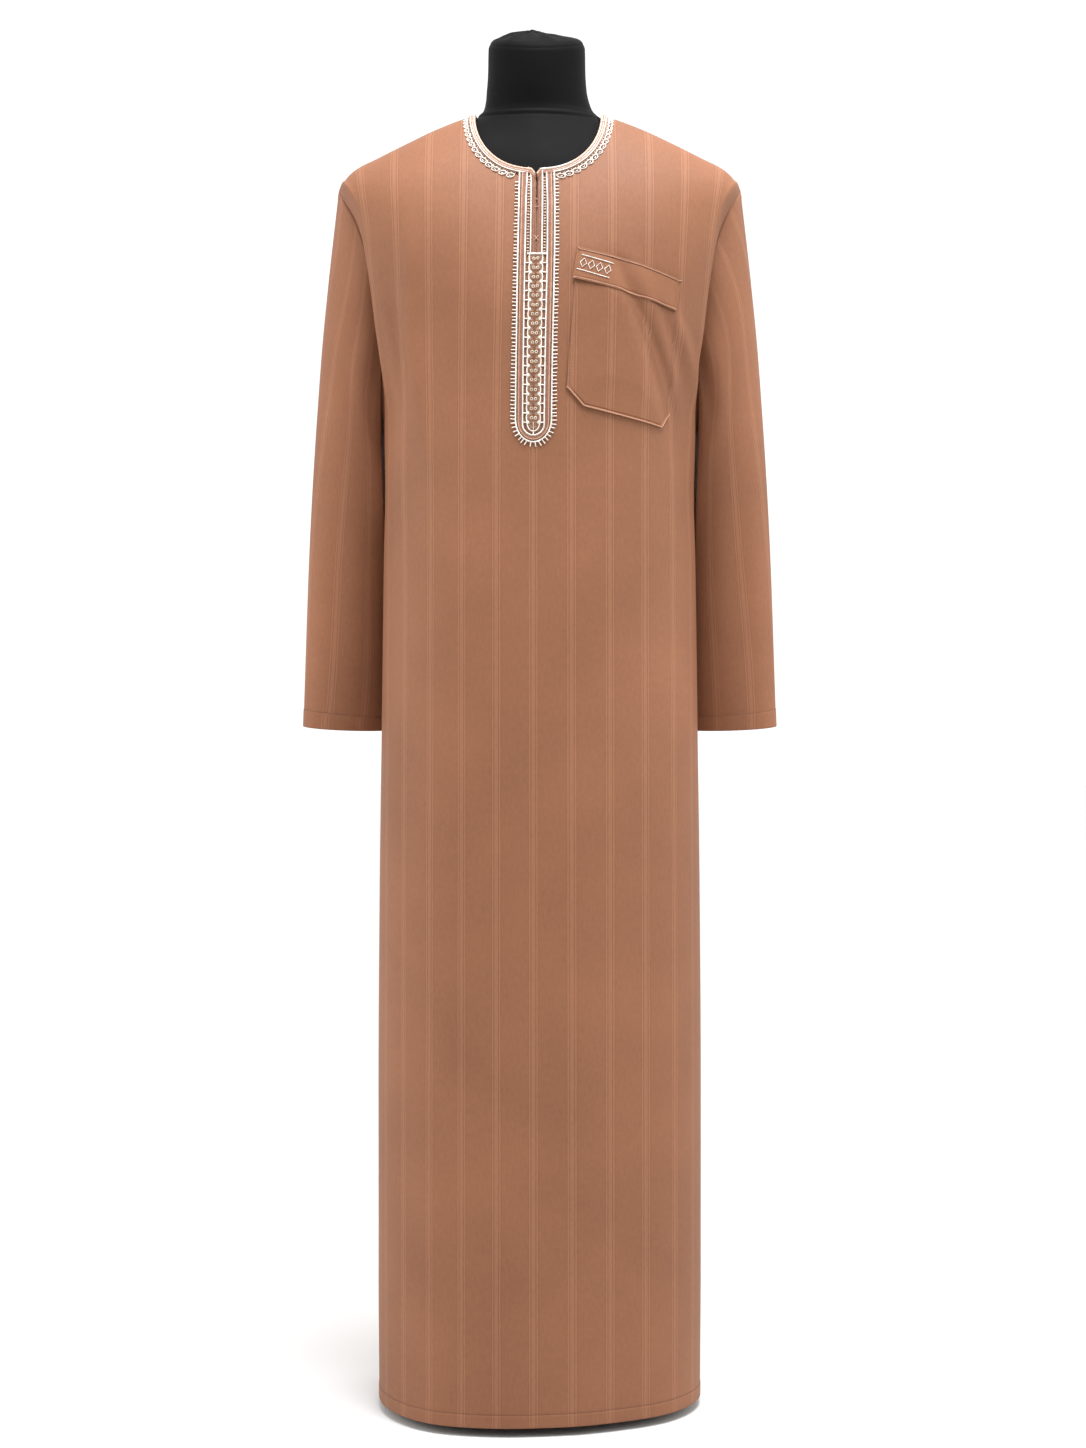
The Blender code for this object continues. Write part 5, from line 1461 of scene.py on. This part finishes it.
def lace_runs():
    """The lace's threads: a chain of slanting loops with a dark ring of painted shade inside each, a row of
    small loops, and knots between.
    """
    rng = np.random.default_rng(7)
    span = 2 * (NECK_END - LACE_START)
    count = round(span / LOOP_PITCH)
    pitch = span / count
    loops, mesh, knots, eyes = [], [], [], []
    turn = full_turn(12)
    for k in range(count):
        middle = LACE_START + (k + 0.5) * pitch
        side = 1 if middle < NECK_END else -1  # the slant is mirrored on the two sides
        long_way, wide = pitch * rng.uniform(0.42, 0.47), rng.uniform(0.0020, 0.0023)
        slant = side * rng.uniform(0.12, 0.30)
        x = middle + long_way * np.cos(turn)
        y = LOOP_OFF + wide * np.sin(turn) + slant * 0.004 * np.cos(turn)
        loops.append((x, y, 0.0009 + 0.0004 * np.cos(turn), True))
        shade_x, shade_y = middle + LACE_SHADE_SHARE[0] * (x - middle), LOOP_OFF + LACE_SHADE_SHARE[1] * (y - LOOP_OFF)
        eyes.append((shade_x, shade_y, 0.0004, True))
        for part in (-0.25, 0.25):
            x = middle + part * pitch + pitch * 0.30 * np.cos(turn)
            y = MESH_OFF + 0.0011 * np.sin(turn) + rng.uniform(-0.0001, 0.0001)
            mesh.append((x, y, 0.0006 + 0.0003 * np.cos(turn + part), True))
        for part, off in ((-0.5, 0.0098), (0.0, 0.0118)):
            x = middle + part * pitch + np.array([-0.0011, 0.0, 0.0011])
            y = off + np.array([-0.0004, 0.0002, -0.0004]) * rng.uniform(0.6, 1.4)
            knots.append((x, y, (0.0007, 0.0012, 0.0007), False))
    made = []
    for runs in (loops, mesh, knots, eyes):
        wrapped = [(round_back(x), *rest) for x, *rest in runs]
        made.append([run for run in wrapped if np.ptp(run[0]) < NECK_END])
    return made


loops, mesh, knots, eyes = lace_runs()
threads("neck_lace_loops", loops, 0.00056, white_yarn, neck)
threads("neck_lace_mesh", mesh, 0.00036, cream_yarn, neck)
threads("neck_lace_knots", knots, 0.00055, white_yarn, neck)
# The lace's dark rings are painted shade in the holes of the loops.
threads("neck_lace_painted_shade", eyes, 0.00060, dark_yarn, neck)

# The placket.
# A U of satin down both sides of the slit and round below the rosettes: rayon cords laid side by side between
# two white cords, the outer one whipped to the robe. Ladder stitches run beside the slit, closed with two small
# loops.

ground_out = np.linspace(-0.030, 0.030, 41)
ground_height = np.linspace(1.050, 1.3710, 170)
places, normals = on_cloth(*np.meshgrid(ground_out, ground_height), "front")
placket = Ground(ground_out, ground_height, places, normals)

EDGES = named_rows(
    "height outer inner",
    (1.0600, 0.0194, 0.0117),
    (1.1500, 0.0195, 0.0118),
    (1.2700, 0.0200, 0.0122),
    (1.3300, 0.0196, 0.0119),
    (1.3640, 0.0190, 0.0107),
)
PLACKET_TOP = 1.3665
OUTER_BOTTOM, INNER_BOTTOM = 1.0662, 1.0736
OUTER_ROUND, INNER_ROUND = 0.0245, 0.0117  # the heights of the round feet of the outer and inner cords
BAR_HEIGHT = 1.2723
U_STEP = 0.003
PLACKET_TAPE = (0.0009, 0.0007)  # how far its outer face is above the robe, and its thickness


def u_line(share, top=PLACKET_TOP):
    """A U shaped line of the placket, from its wearer's-right top round its foot to the other top.
    share is 0 at the outer white cord and 1 at the inner one."""
    bottom = OUTER_BOTTOM + (INNER_BOTTOM - OUTER_BOTTOM) * share
    rounded = OUTER_ROUND + (INNER_ROUND - OUTER_ROUND) * share

    def half_width(height):
        outer, inner = (smooth(EDGES, "height", key, height) for key in ("outer", "inner"))
        return (1 - share) * outer + share * inner

    turn = np.linspace(0, math.pi / 2, 12)[:-1]
    foot_width = float(half_width(bottom + rounded))
    foot = np.stack([foot_width * np.sin(turn), bottom + rounded * (1 - np.cos(turn))], axis=1)
    height = np.linspace(bottom + rounded, top, math.ceil((top - bottom - rounded) / U_STEP) + 1)
    half = np.concatenate([foot, np.stack([half_width(height), height], axis=1)])
    return np.concatenate([half[:0:-1] * np.array([-1, 1]), half])


def u_run(share, lift):
    """A cord of the placket, laid along such a line."""
    line = u_line(share)
    return line[:, 0], line[:, 1], lift, False


grid = np.array([resampled(u_line(share), 260) for share in np.linspace(-0.02, 1.02, 7)])
placket_band = tape("placket_tape", grid[:, :, 0], grid[:, :, 1], *PLACKET_TAPE, satin, placket)
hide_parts("placket_braid")
threads("placket_cord_outer", [u_run(0.0, 0.0013)], 0.00088, white_yarn, placket)
threads("placket_cord_inner", [u_run(1.0, 0.0013)], 0.00084, white_yarn, placket)
threads("placket_cords_dark", [u_run(0.18, 0.0011)], 0.00078, dark_yarn, placket)
threads("placket_cords_tan", [u_run(0.40, 0.0012)], 0.00095, tan_yarn, placket)
threads("placket_cords_brown", [u_run(0.60, 0.0012), u_run(0.78, 0.0011)], 0.00078, brown_yarn, placket)

WHIP_PITCH = 0.0040
WHIP_TOP = 1.3585
WHIP_HEIGHTS = (1.10, 1.34)  # the stitches get shorter from the first height to the second
WHIP_LENGTHS = (0.0056, 0.0046)


def whip_runs():
    """Short stitches that reach from the outer white cord out onto the robe, a little uneven."""
    rng = np.random.default_rng(11)
    line = resampled(u_line(0.0, top=WHIP_TOP), 2001)
    gone = travelled(line)
    runs = []
    for at in np.arange(WHIP_PITCH, gone[-1], WHIP_PITCH):
        k = int(np.searchsorted(gone, at + rng.uniform(-0.0003, 0.0003)))
        k = min(max(k, 1), len(line) - 2)
        way = line[k + 1] - line[k - 1]
        way /= np.linalg.norm(way)
        outward = np.array([way[1], -way[0]])
        slant = np.sign(line[k][0]) * rng.uniform(0.02, 0.16)
        reach = np.interp(line[k][1], WHIP_HEIGHTS, WHIP_LENGTHS) * rng.uniform(0.92, 1.08)
        steps = np.array([0.0, 0.45, 1.0])[:, None] * reach
        spots = line[k] + steps * outward + steps * slant * way
        runs.append((spots[:, 0], spots[:, 1], (0.0017, 0.0014, 0.0010), False))
    return runs


threads("placket_whip_stitches", whip_runs(), 0.00062, white_yarn, placket)

SLIT_LINE = 0.0063
SLIT_TAPE_TOP = 1.3680
SLIT_CORDS_TOP = 1.3640
SLIT_LINES = named_rows(
    "name side top lift radius spread",
    ("left", 1, 1.3690, 0.0013, 0.00082, 0.0),
    ("right", -1, 1.3668, 0.0012, 0.00070, 0.0010),
)
LADDER_TOP = 1.3620
LADDER_PITCH = 0.0034
# Half the slit's gap at each height. It opens towards the neckline.
GAP_HEIGHTS = (1.300, 1.3215, 1.345, 1.3610, SLIT_TAPE_TOP)
GAPS = (0.0, 0.0003, 0.0007, 0.0009, 0.0046)


def slit_tape(side):
    """One of the two tapes that face the slit, from the bar up to the neckline, with its top corner cut off."""
    height = np.linspace(BAR_HEIGHT, SLIT_TAPE_TOP, 60)[None, :]
    share = np.linspace(0, 1, 7)[:, None]
    out = np.interp(height, GAP_HEIGHTS, GAPS) * (1 - share) + SLIT_LINE * share
    return [grid[::-side] for grid in np.broadcast_arrays(side * out, height)]


for side, name in SIDES:
    tape("slit_tape_" + name, *slit_tape(side), *PLACKET_TAPE, satin, placket)
slit_height = np.linspace(BAR_HEIGHT, SLIT_CORDS_TOP, 40)
inner_edge = smooth(EDGES, "height", "inner", slit_height)
runs = {"tan": [], "brown": [], "dark": []}
for side in (1, -1):
    for out, kind, lift in ((0.0016, "brown", 0.0012), (0.0031, "tan", 0.0012), (0.0046, "brown", 0.0011)):
        widened = out + np.interp(slit_height, (1.3560, SLIT_CORDS_TOP), (0, 0.0022))
        runs[kind].append((side * widened, slit_height, lift, False))
    runs["dark"].append((side * (inner_edge - 0.0013), slit_height, 0.0007, False))
    runs["dark"].append((side * (SLIT_LINE + 0.0012), slit_height, 0.0007, False))
threads("slit_cords_tan", runs["tan"], 0.00065, brown_yarn, placket)
threads("slit_cords_brown", runs["brown"], 0.00060, rosette_brown, placket)
threads("slit_cords_dark", runs["dark"], 0.00045, dark_yarn, placket)
for line in SLIT_LINES:
    height = np.linspace(BAR_HEIGHT, line.top, 40)
    out = line.side * (SLIT_LINE + np.interp(height, (1.360, 1.367), (0.0, line.spread)))
    threads("slit_line_" + line.name, [(out, height, line.lift, False)], line.radius, white_yarn, placket)


def ladder_runs():
    """The ladder stitches on both sides of the slit."""
    rng = np.random.default_rng(5)
    runs = []
    for side in (1, -1):
        height = BAR_HEIGHT + 0.003
        while height < LADDER_TOP:
            far = float(smooth(EDGES, "height", "inner", height)) - 0.0016
            middle = (SLIT_LINE + 0.0014 + far) / 2
            out = (middle + np.array([-0.0011, 0.0, 0.0011])) * side
            tilt = rng.uniform(-0.0004, 0.0004)
            up = height + np.array([-tilt, 0.0002, tilt])
            runs.append((out, up, (0.0009, 0.0014, 0.0009), False))
            height += LADDER_PITCH * rng.uniform(0.92, 1.08)
    return runs


threads("slit_ladder_stitches", ladder_runs(), 0.00062, cream_yarn, placket)
bar_out = np.linspace(-0.0098, 0.0120, 12)
threads("slit_foot_bar", [(bar_out, BAR_HEIGHT, 0.0019, False)], 0.00105, white_yarn, placket)
tacks = []
for height in (1.3260, 1.3345):
    lift = (0.0010, 0.0019, 0.0021, 0.0019, 0.0010)
    tacks.append((np.linspace(-0.0022, 0.0022, 5), height, lift, False))
for slant in (1, -1):
    out = np.linspace(-0.0024, 0.0024, 3)
    tacks.append((out, 1.2900 + slant * out * 1.2, (0.0016, 0.0022, 0.0016), False))
threads("slit_closing_loops", tacks, 0.00050, tan_yarn, placket)

# The rosette panel.
# A strip of brown satin below the slit, between the placket's inner white cords. Cells framed in white cord run
# down it on a band of cream lace, and each holds a rosette: two cream rings side by side, outlined in brown
# thread.

LAST_TICK = 1.0872
CELLS = 18
CELL_PITCH = (BAR_HEIGHT - LAST_TICK) / CELLS
FRAME_HALF = 0.0072
FRAME_INSET = 0.0004
FRAME_DEEP = 0.0094  # its round foot reaches this far below the last tick
FRAME_BULGE = 0.0007
FRAME_STEPS = 8
GROUND_TAPE = (0.0008, 0.0006)  # how far the outer face is above the robe, and the thickness
LACE_TAPE = (0.0013, 0.0005)
ROSETTE_HALF_WIDTH = 0.0051
ROSETTE_HALF_HEIGHT = 0.0037
PINCH, PINCH_WIDTH = 0.42, 0.32
EYE_OUT = 0.0023
EYE_RADIUS = 0.0014


def rounded_strip(height, foot, half_width):
    """Half widths of a strip with a round foot, and its grid. foot is the share of the round at each height."""
    half = half_width * np.sqrt(1 - (1 - np.clip(foot, 0, 1)) ** 2)
    share = np.linspace(1, -1, 9)[:, None]
    return half, np.broadcast_arrays(share, height[None, :])


cell_height = np.linspace(INNER_BOTTOM + 0.0008, BAR_HEIGHT, 90)
half, (share, panel_y) = rounded_strip(
    cell_height, (cell_height - INNER_BOTTOM) / INNER_ROUND, smooth(EDGES, "height", "inner", cell_height))
rosette_ground = tape("rosette_ground", share * half, panel_y, *GROUND_TAPE, satin, placket, slot="white_thread")
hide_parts("rosette_panel")

lace_height = np.linspace(LAST_TICK - FRAME_DEEP, BAR_HEIGHT - 0.0004, 110)
half, (share, lace_y) = rounded_strip(
    lace_height, (lace_height - LAST_TICK + FRAME_DEEP) / FRAME_DEEP, FRAME_HALF - FRAME_INSET)
lace_ground = yarn("cream_lace_ground", (0.46, 0.30, 0.205), (0.30, 0.170, 0.105), 0.0007)
tape("rosette_lace", share * (half + 0.0001), lace_y, *LACE_TAPE, lace_ground, placket, slot="white_thread")


def frame_runs():
    """The white frame of the cells: a scalloped line down each side, round at the foot."""
    height = np.arange(CELLS * FRAME_STEPS + 1) / FRAME_STEPS * CELL_PITCH + LAST_TICK
    bulge = FRAME_BULGE * np.abs(np.sin(np.pi * (height - LAST_TICK) / CELL_PITCH))
    turn = np.linspace(math.pi / 2, 0, 9)[:-1]
    foot_x = (FRAME_HALF - FRAME_INSET) * np.sin(turn)
    foot_y = LAST_TICK - FRAME_DEEP * np.cos(turn)
    side_x = FRAME_HALF + bulge - FRAME_INSET
    x = np.concatenate([-side_x[::-1], -foot_x, [0.0], foot_x[::-1], side_x])
    y = np.concatenate([height[::-1], foot_y, [LAST_TICK - FRAME_DEEP], foot_y[::-1], height])
    return [(x, y, 0.0017, False)]


def tick_runs():
    """Ticks from the inner white cords across the frame, with two short arms at their inner ends."""
    rng = np.random.default_rng(3)
    runs = []
    for k in range(CELLS):
        height = LAST_TICK + k * CELL_PITCH
        far = float(smooth(EDGES, "height", "inner", height))
        for side in (1, -1):
            tilt = rng.uniform(-0.0003, 0.0003)
            out = side * np.array([far, FRAME_HALF, 0.0050])
            up = height + np.array([-tilt, 0.0, tilt])
            runs.append((out, up, (0.0014, 0.0022, 0.0019), False))
            out = side * np.array([FRAME_HALF, 0.0058, 0.0046])
            for way in (1, -1):
                up = height + way * np.array([0.0018, 0.0010, 0.0003])
                runs.append((out, up, (0.0018, 0.0020, 0.0016), False))
    runs.append((0.0, np.array([INNER_BOTTOM, 1.0755, 1.0785]), 0.0016, False))  # a last one, at the foot
    return runs


threads("rosette_frame", frame_runs(), 0.00072, white_yarn, placket)
threads("rosette_ticks", tick_runs(), 0.00070, white_yarn, placket)


def rosette_runs(middle, rng):
    """One rosette: its brown outline, pinched above and below, the link under it, and its two cream rings."""
    turn = full_turn(16)
    pinch = 1 - PINCH * np.exp(-((np.cos(turn) / PINCH_WIDTH) ** 2))
    sway = rng.uniform(-0.0002, 0.0002)
    out, up = ROSETTE_HALF_WIDTH * np.cos(turn) + sway, middle + ROSETTE_HALF_HEIGHT * np.sin(turn) * pinch
    outline = [(out, up, 0.0019 + 0.0002 * np.cos(turn * 3), True)]
    rings = []
    turn = full_turn(8)
    low = middle - CELL_PITCH / 2
    for side in (1, -1):
        out = side * EYE_OUT + sway + EYE_RADIUS * np.cos(turn)
        up = middle + rng.uniform(-0.0004, 0.0004) + EYE_RADIUS * np.sin(turn)
        rings.append((out, up, 0.0018, True))
        out = side * np.array([0.0017, 0.0004, -0.0017]) + sway
        outline.append((out, low + np.array([0.0024, 0.0, -0.0024]), (0.0017, 0.0021, 0.0017), False))
    return outline, rings


rng = np.random.default_rng(17)
outlines, rings = [], []
for k in range(CELLS):
    more = rosette_runs(LAST_TICK + (k + 0.5) * CELL_PITCH, rng)
    outlines += more[0][:1] if k == 0 else more[0]  # the lowest has no link
    rings += more[1]
turn = full_turn(12)
for side in (1, -1):  # the last motif is a bud on a stem
    outlines.append((side * (0.0022 + 0.0019 * np.cos(turn)), 1.0835 + 0.0033 * np.sin(turn), 0.0019, True))
stem = (0.0, np.linspace(1.0790, 1.0870, 4), 0.0020, False)
threads("rosette_outlines", outlines, 0.00060, rosette_brown, placket)
threads("rosette_rings", rings + [stem], 0.00062, cream_yarn, placket)
eyes = [(x.mean() + np.array([-0.0004, 0.0004]), y.mean(), 0.0021, False) for x, y, *_ in rings]
threads("rosette_eyes", eyes, 0.00060, dark_yarn, placket)

# The pocket's edges and the sewing.
# The mouth band and the pocket's foot have a narrow rolled edge, painted lighter than the cloth as a highlight,
# and thin dark cords under the band's top ridge and lower edge are a painted shadow. Rows of short stitches hold
# the pocket, the hem and the cuffs, and a small row of lozenges between two lines is worked in white thread at
# the inner end of the band.

# The rolled edges are painted much lighter than the twill, as a painted highlight along them.
roll_twill_painted_highlight = woven("caramel_twill_rolled_painted_highlight", (0.40, 0.215, 0.135), (0.30, 0.150, 0.090), striped=False)
stitch_yarn = yarn("brown_sewing_thread", (0.120, 0.047, 0.023), (0.075, 0.028, 0.013), 0.0009)
pale_stitch_yarn = yarn("caramel_sewing_thread", (0.34, 0.165, 0.098), (0.22, 0.100, 0.056), 0.0009)

STITCH_PITCH = 0.0034
STITCH_LENGTH = 0.0023
STITCH_LIFT = 0.00040
EDGE_STEP = 0.0025
EDGE_ROLL = 0.00070


def edge_line(corners, surface, lift, bow=None):
    """Places on the pocket or its band along a line through corners given as out and height."""
    corners = np.array(corners)
    line = resampled(corners, math.ceil(travelled(corners)[-1] / EDGE_STEP) + 1)
    if bow:
        line[:, 1] += bow * np.sin(np.pi * np.linspace(0, 1, len(line)))
    return on_cloth(line[:, 0], line[:, 1], lift=lift, surface=surface)[0]


def stitches(path, surface):
    """Short runs of thread along a path, on the surface: down, up over the middle and down again."""
    gone = travelled(path)
    lines = []
    for at in np.arange(STITCH_PITCH / 2, gone[-1] - STITCH_LENGTH / 2, STITCH_PITCH):
        spots = []
        for share, up in ((-0.5, 0.25), (0.0, 1.0), (0.5, 0.25)):
            spot = Vector([np.interp(at + share * STITCH_LENGTH, gone, path[:, k]) for k in range(3)])
            nearest, normal, _, _ = surface.find_nearest(spot)
            spots.append(nearest + normal * STITCH_LIFT * up)
        lines.append((np.array(spots), False))
    return lines


mouth = np.array([(band_left, band_top), (band_right, right_top)])
fold = np.array([(band_foot, band_low), (right_foot, right_low)])
rolls = [
    (edge_line(mouth, band_surface, 0.0002, BAND_BOW), False),
    (edge_line(fold, band_surface, 0.0003, BAND_BOW), False),
    (edge_line(pocket_corners[1:5], pocket_surface, 0.0003), False),
]
cords("pocket_rolled_edges", rolls, EDGE_ROLL, roll_twill_painted_highlight)
# Painted shadow: thin dark cords in the sewing thread's colour, under the band's top ridge and under its lower
# edge.
creases = [
    (edge_line(mouth - (0, 0.0019), band_surface, 0.0001, BAND_BOW), False),
    (edge_line(fold - (0, 0.0012), body_cloth, 0.0024, BAND_BOW), False),
]
cords("pocket_edge_shadow", creases, 0.00040, stitch_yarn)
side_seams = []
for corners, surface in (
        ([(0.0443, 1.2400), (0.0375, 1.1280)], pocket_surface),
        ([(0.1492, 1.2080), (0.1450, 1.1090)], pocket_surface),
        (np.stack([mouth[1], fold[1]]) + ((-GROOVE_IN, -0.002), (-GROOVE_IN, 0.002)), band_surface),
        (np.stack([mouth[0], fold[0]]) + ((GROOVE_IN, -0.002), (GROOVE_IN, 0.002)), band_surface)):
    side_seams += stitches(edge_line(corners, surface, 0.0), surface)
cords("pocket_stitches", side_seams, 0.00026, pale_stitch_yarn, sides=4)
hem_lines = [line for panel in ("front", "back") for path in hems[panel] for line in stitches(path, body_cloth)]
cords("hem_stitches", hem_lines, 0.00028, stitch_yarn, sides=4)
cuff_lines = []
for side, name in SIDES:
    cuff_lines += stitches(sleeves[side][HEM_STITCH_ROW], sleeve_surfaces[side])
cords("cuff_stitches", cuff_lines, 0.00028, stitch_yarn, sides=4)

MOTIF_LOZENGES = 4
MOTIF_PITCH = 0.0088
MOTIF_START = 0.0110
MOTIF_MIDDLE = 0.0158
LINES_OFF, LINES_PAST = 0.0082, 0.0040  # its two lines run this far from its middle, and this far past its ends
LOZENGE = (0.0034, 0.0050)
band_way = np.array([band_right - band_left, right_top - band_top])
band_way /= np.linalg.norm(band_way)
band_down = np.array([band_way[1], -band_way[0]])


def motif_line(along, down):
    """Places on the band, from how far they are along it and down it."""
    spots = np.array([band_left, band_top]) + np.outer(along, band_way) + np.outer(down, band_down)
    return on_cloth(spots[:, 0], spots[:, 1] + 0.0006, lift=0.0005, surface=band_surface)[0]


motif = []
for k in range(MOTIF_LOZENGES):
    middle = MOTIF_START + k * MOTIF_PITCH
    along = middle + LOZENGE[0] * np.array([0.0, 1.0, 0.0, -1.0])
    motif.append((motif_line(along, MOTIF_MIDDLE + LOZENGE[1] * np.array([-1.0, 0.0, 1.0, 0.0])), True))
motif_end = MOTIF_START + LINES_PAST + (MOTIF_LOZENGES - 1) * MOTIF_PITCH
for down in (MOTIF_MIDDLE - LINES_OFF, MOTIF_MIDDLE + LINES_OFF):
    motif.append((motif_line(np.linspace(MOTIF_START - LINES_PAST, motif_end, 14), down), False))
cords("pocket_motif", motif, 0.00050, white_yarn)
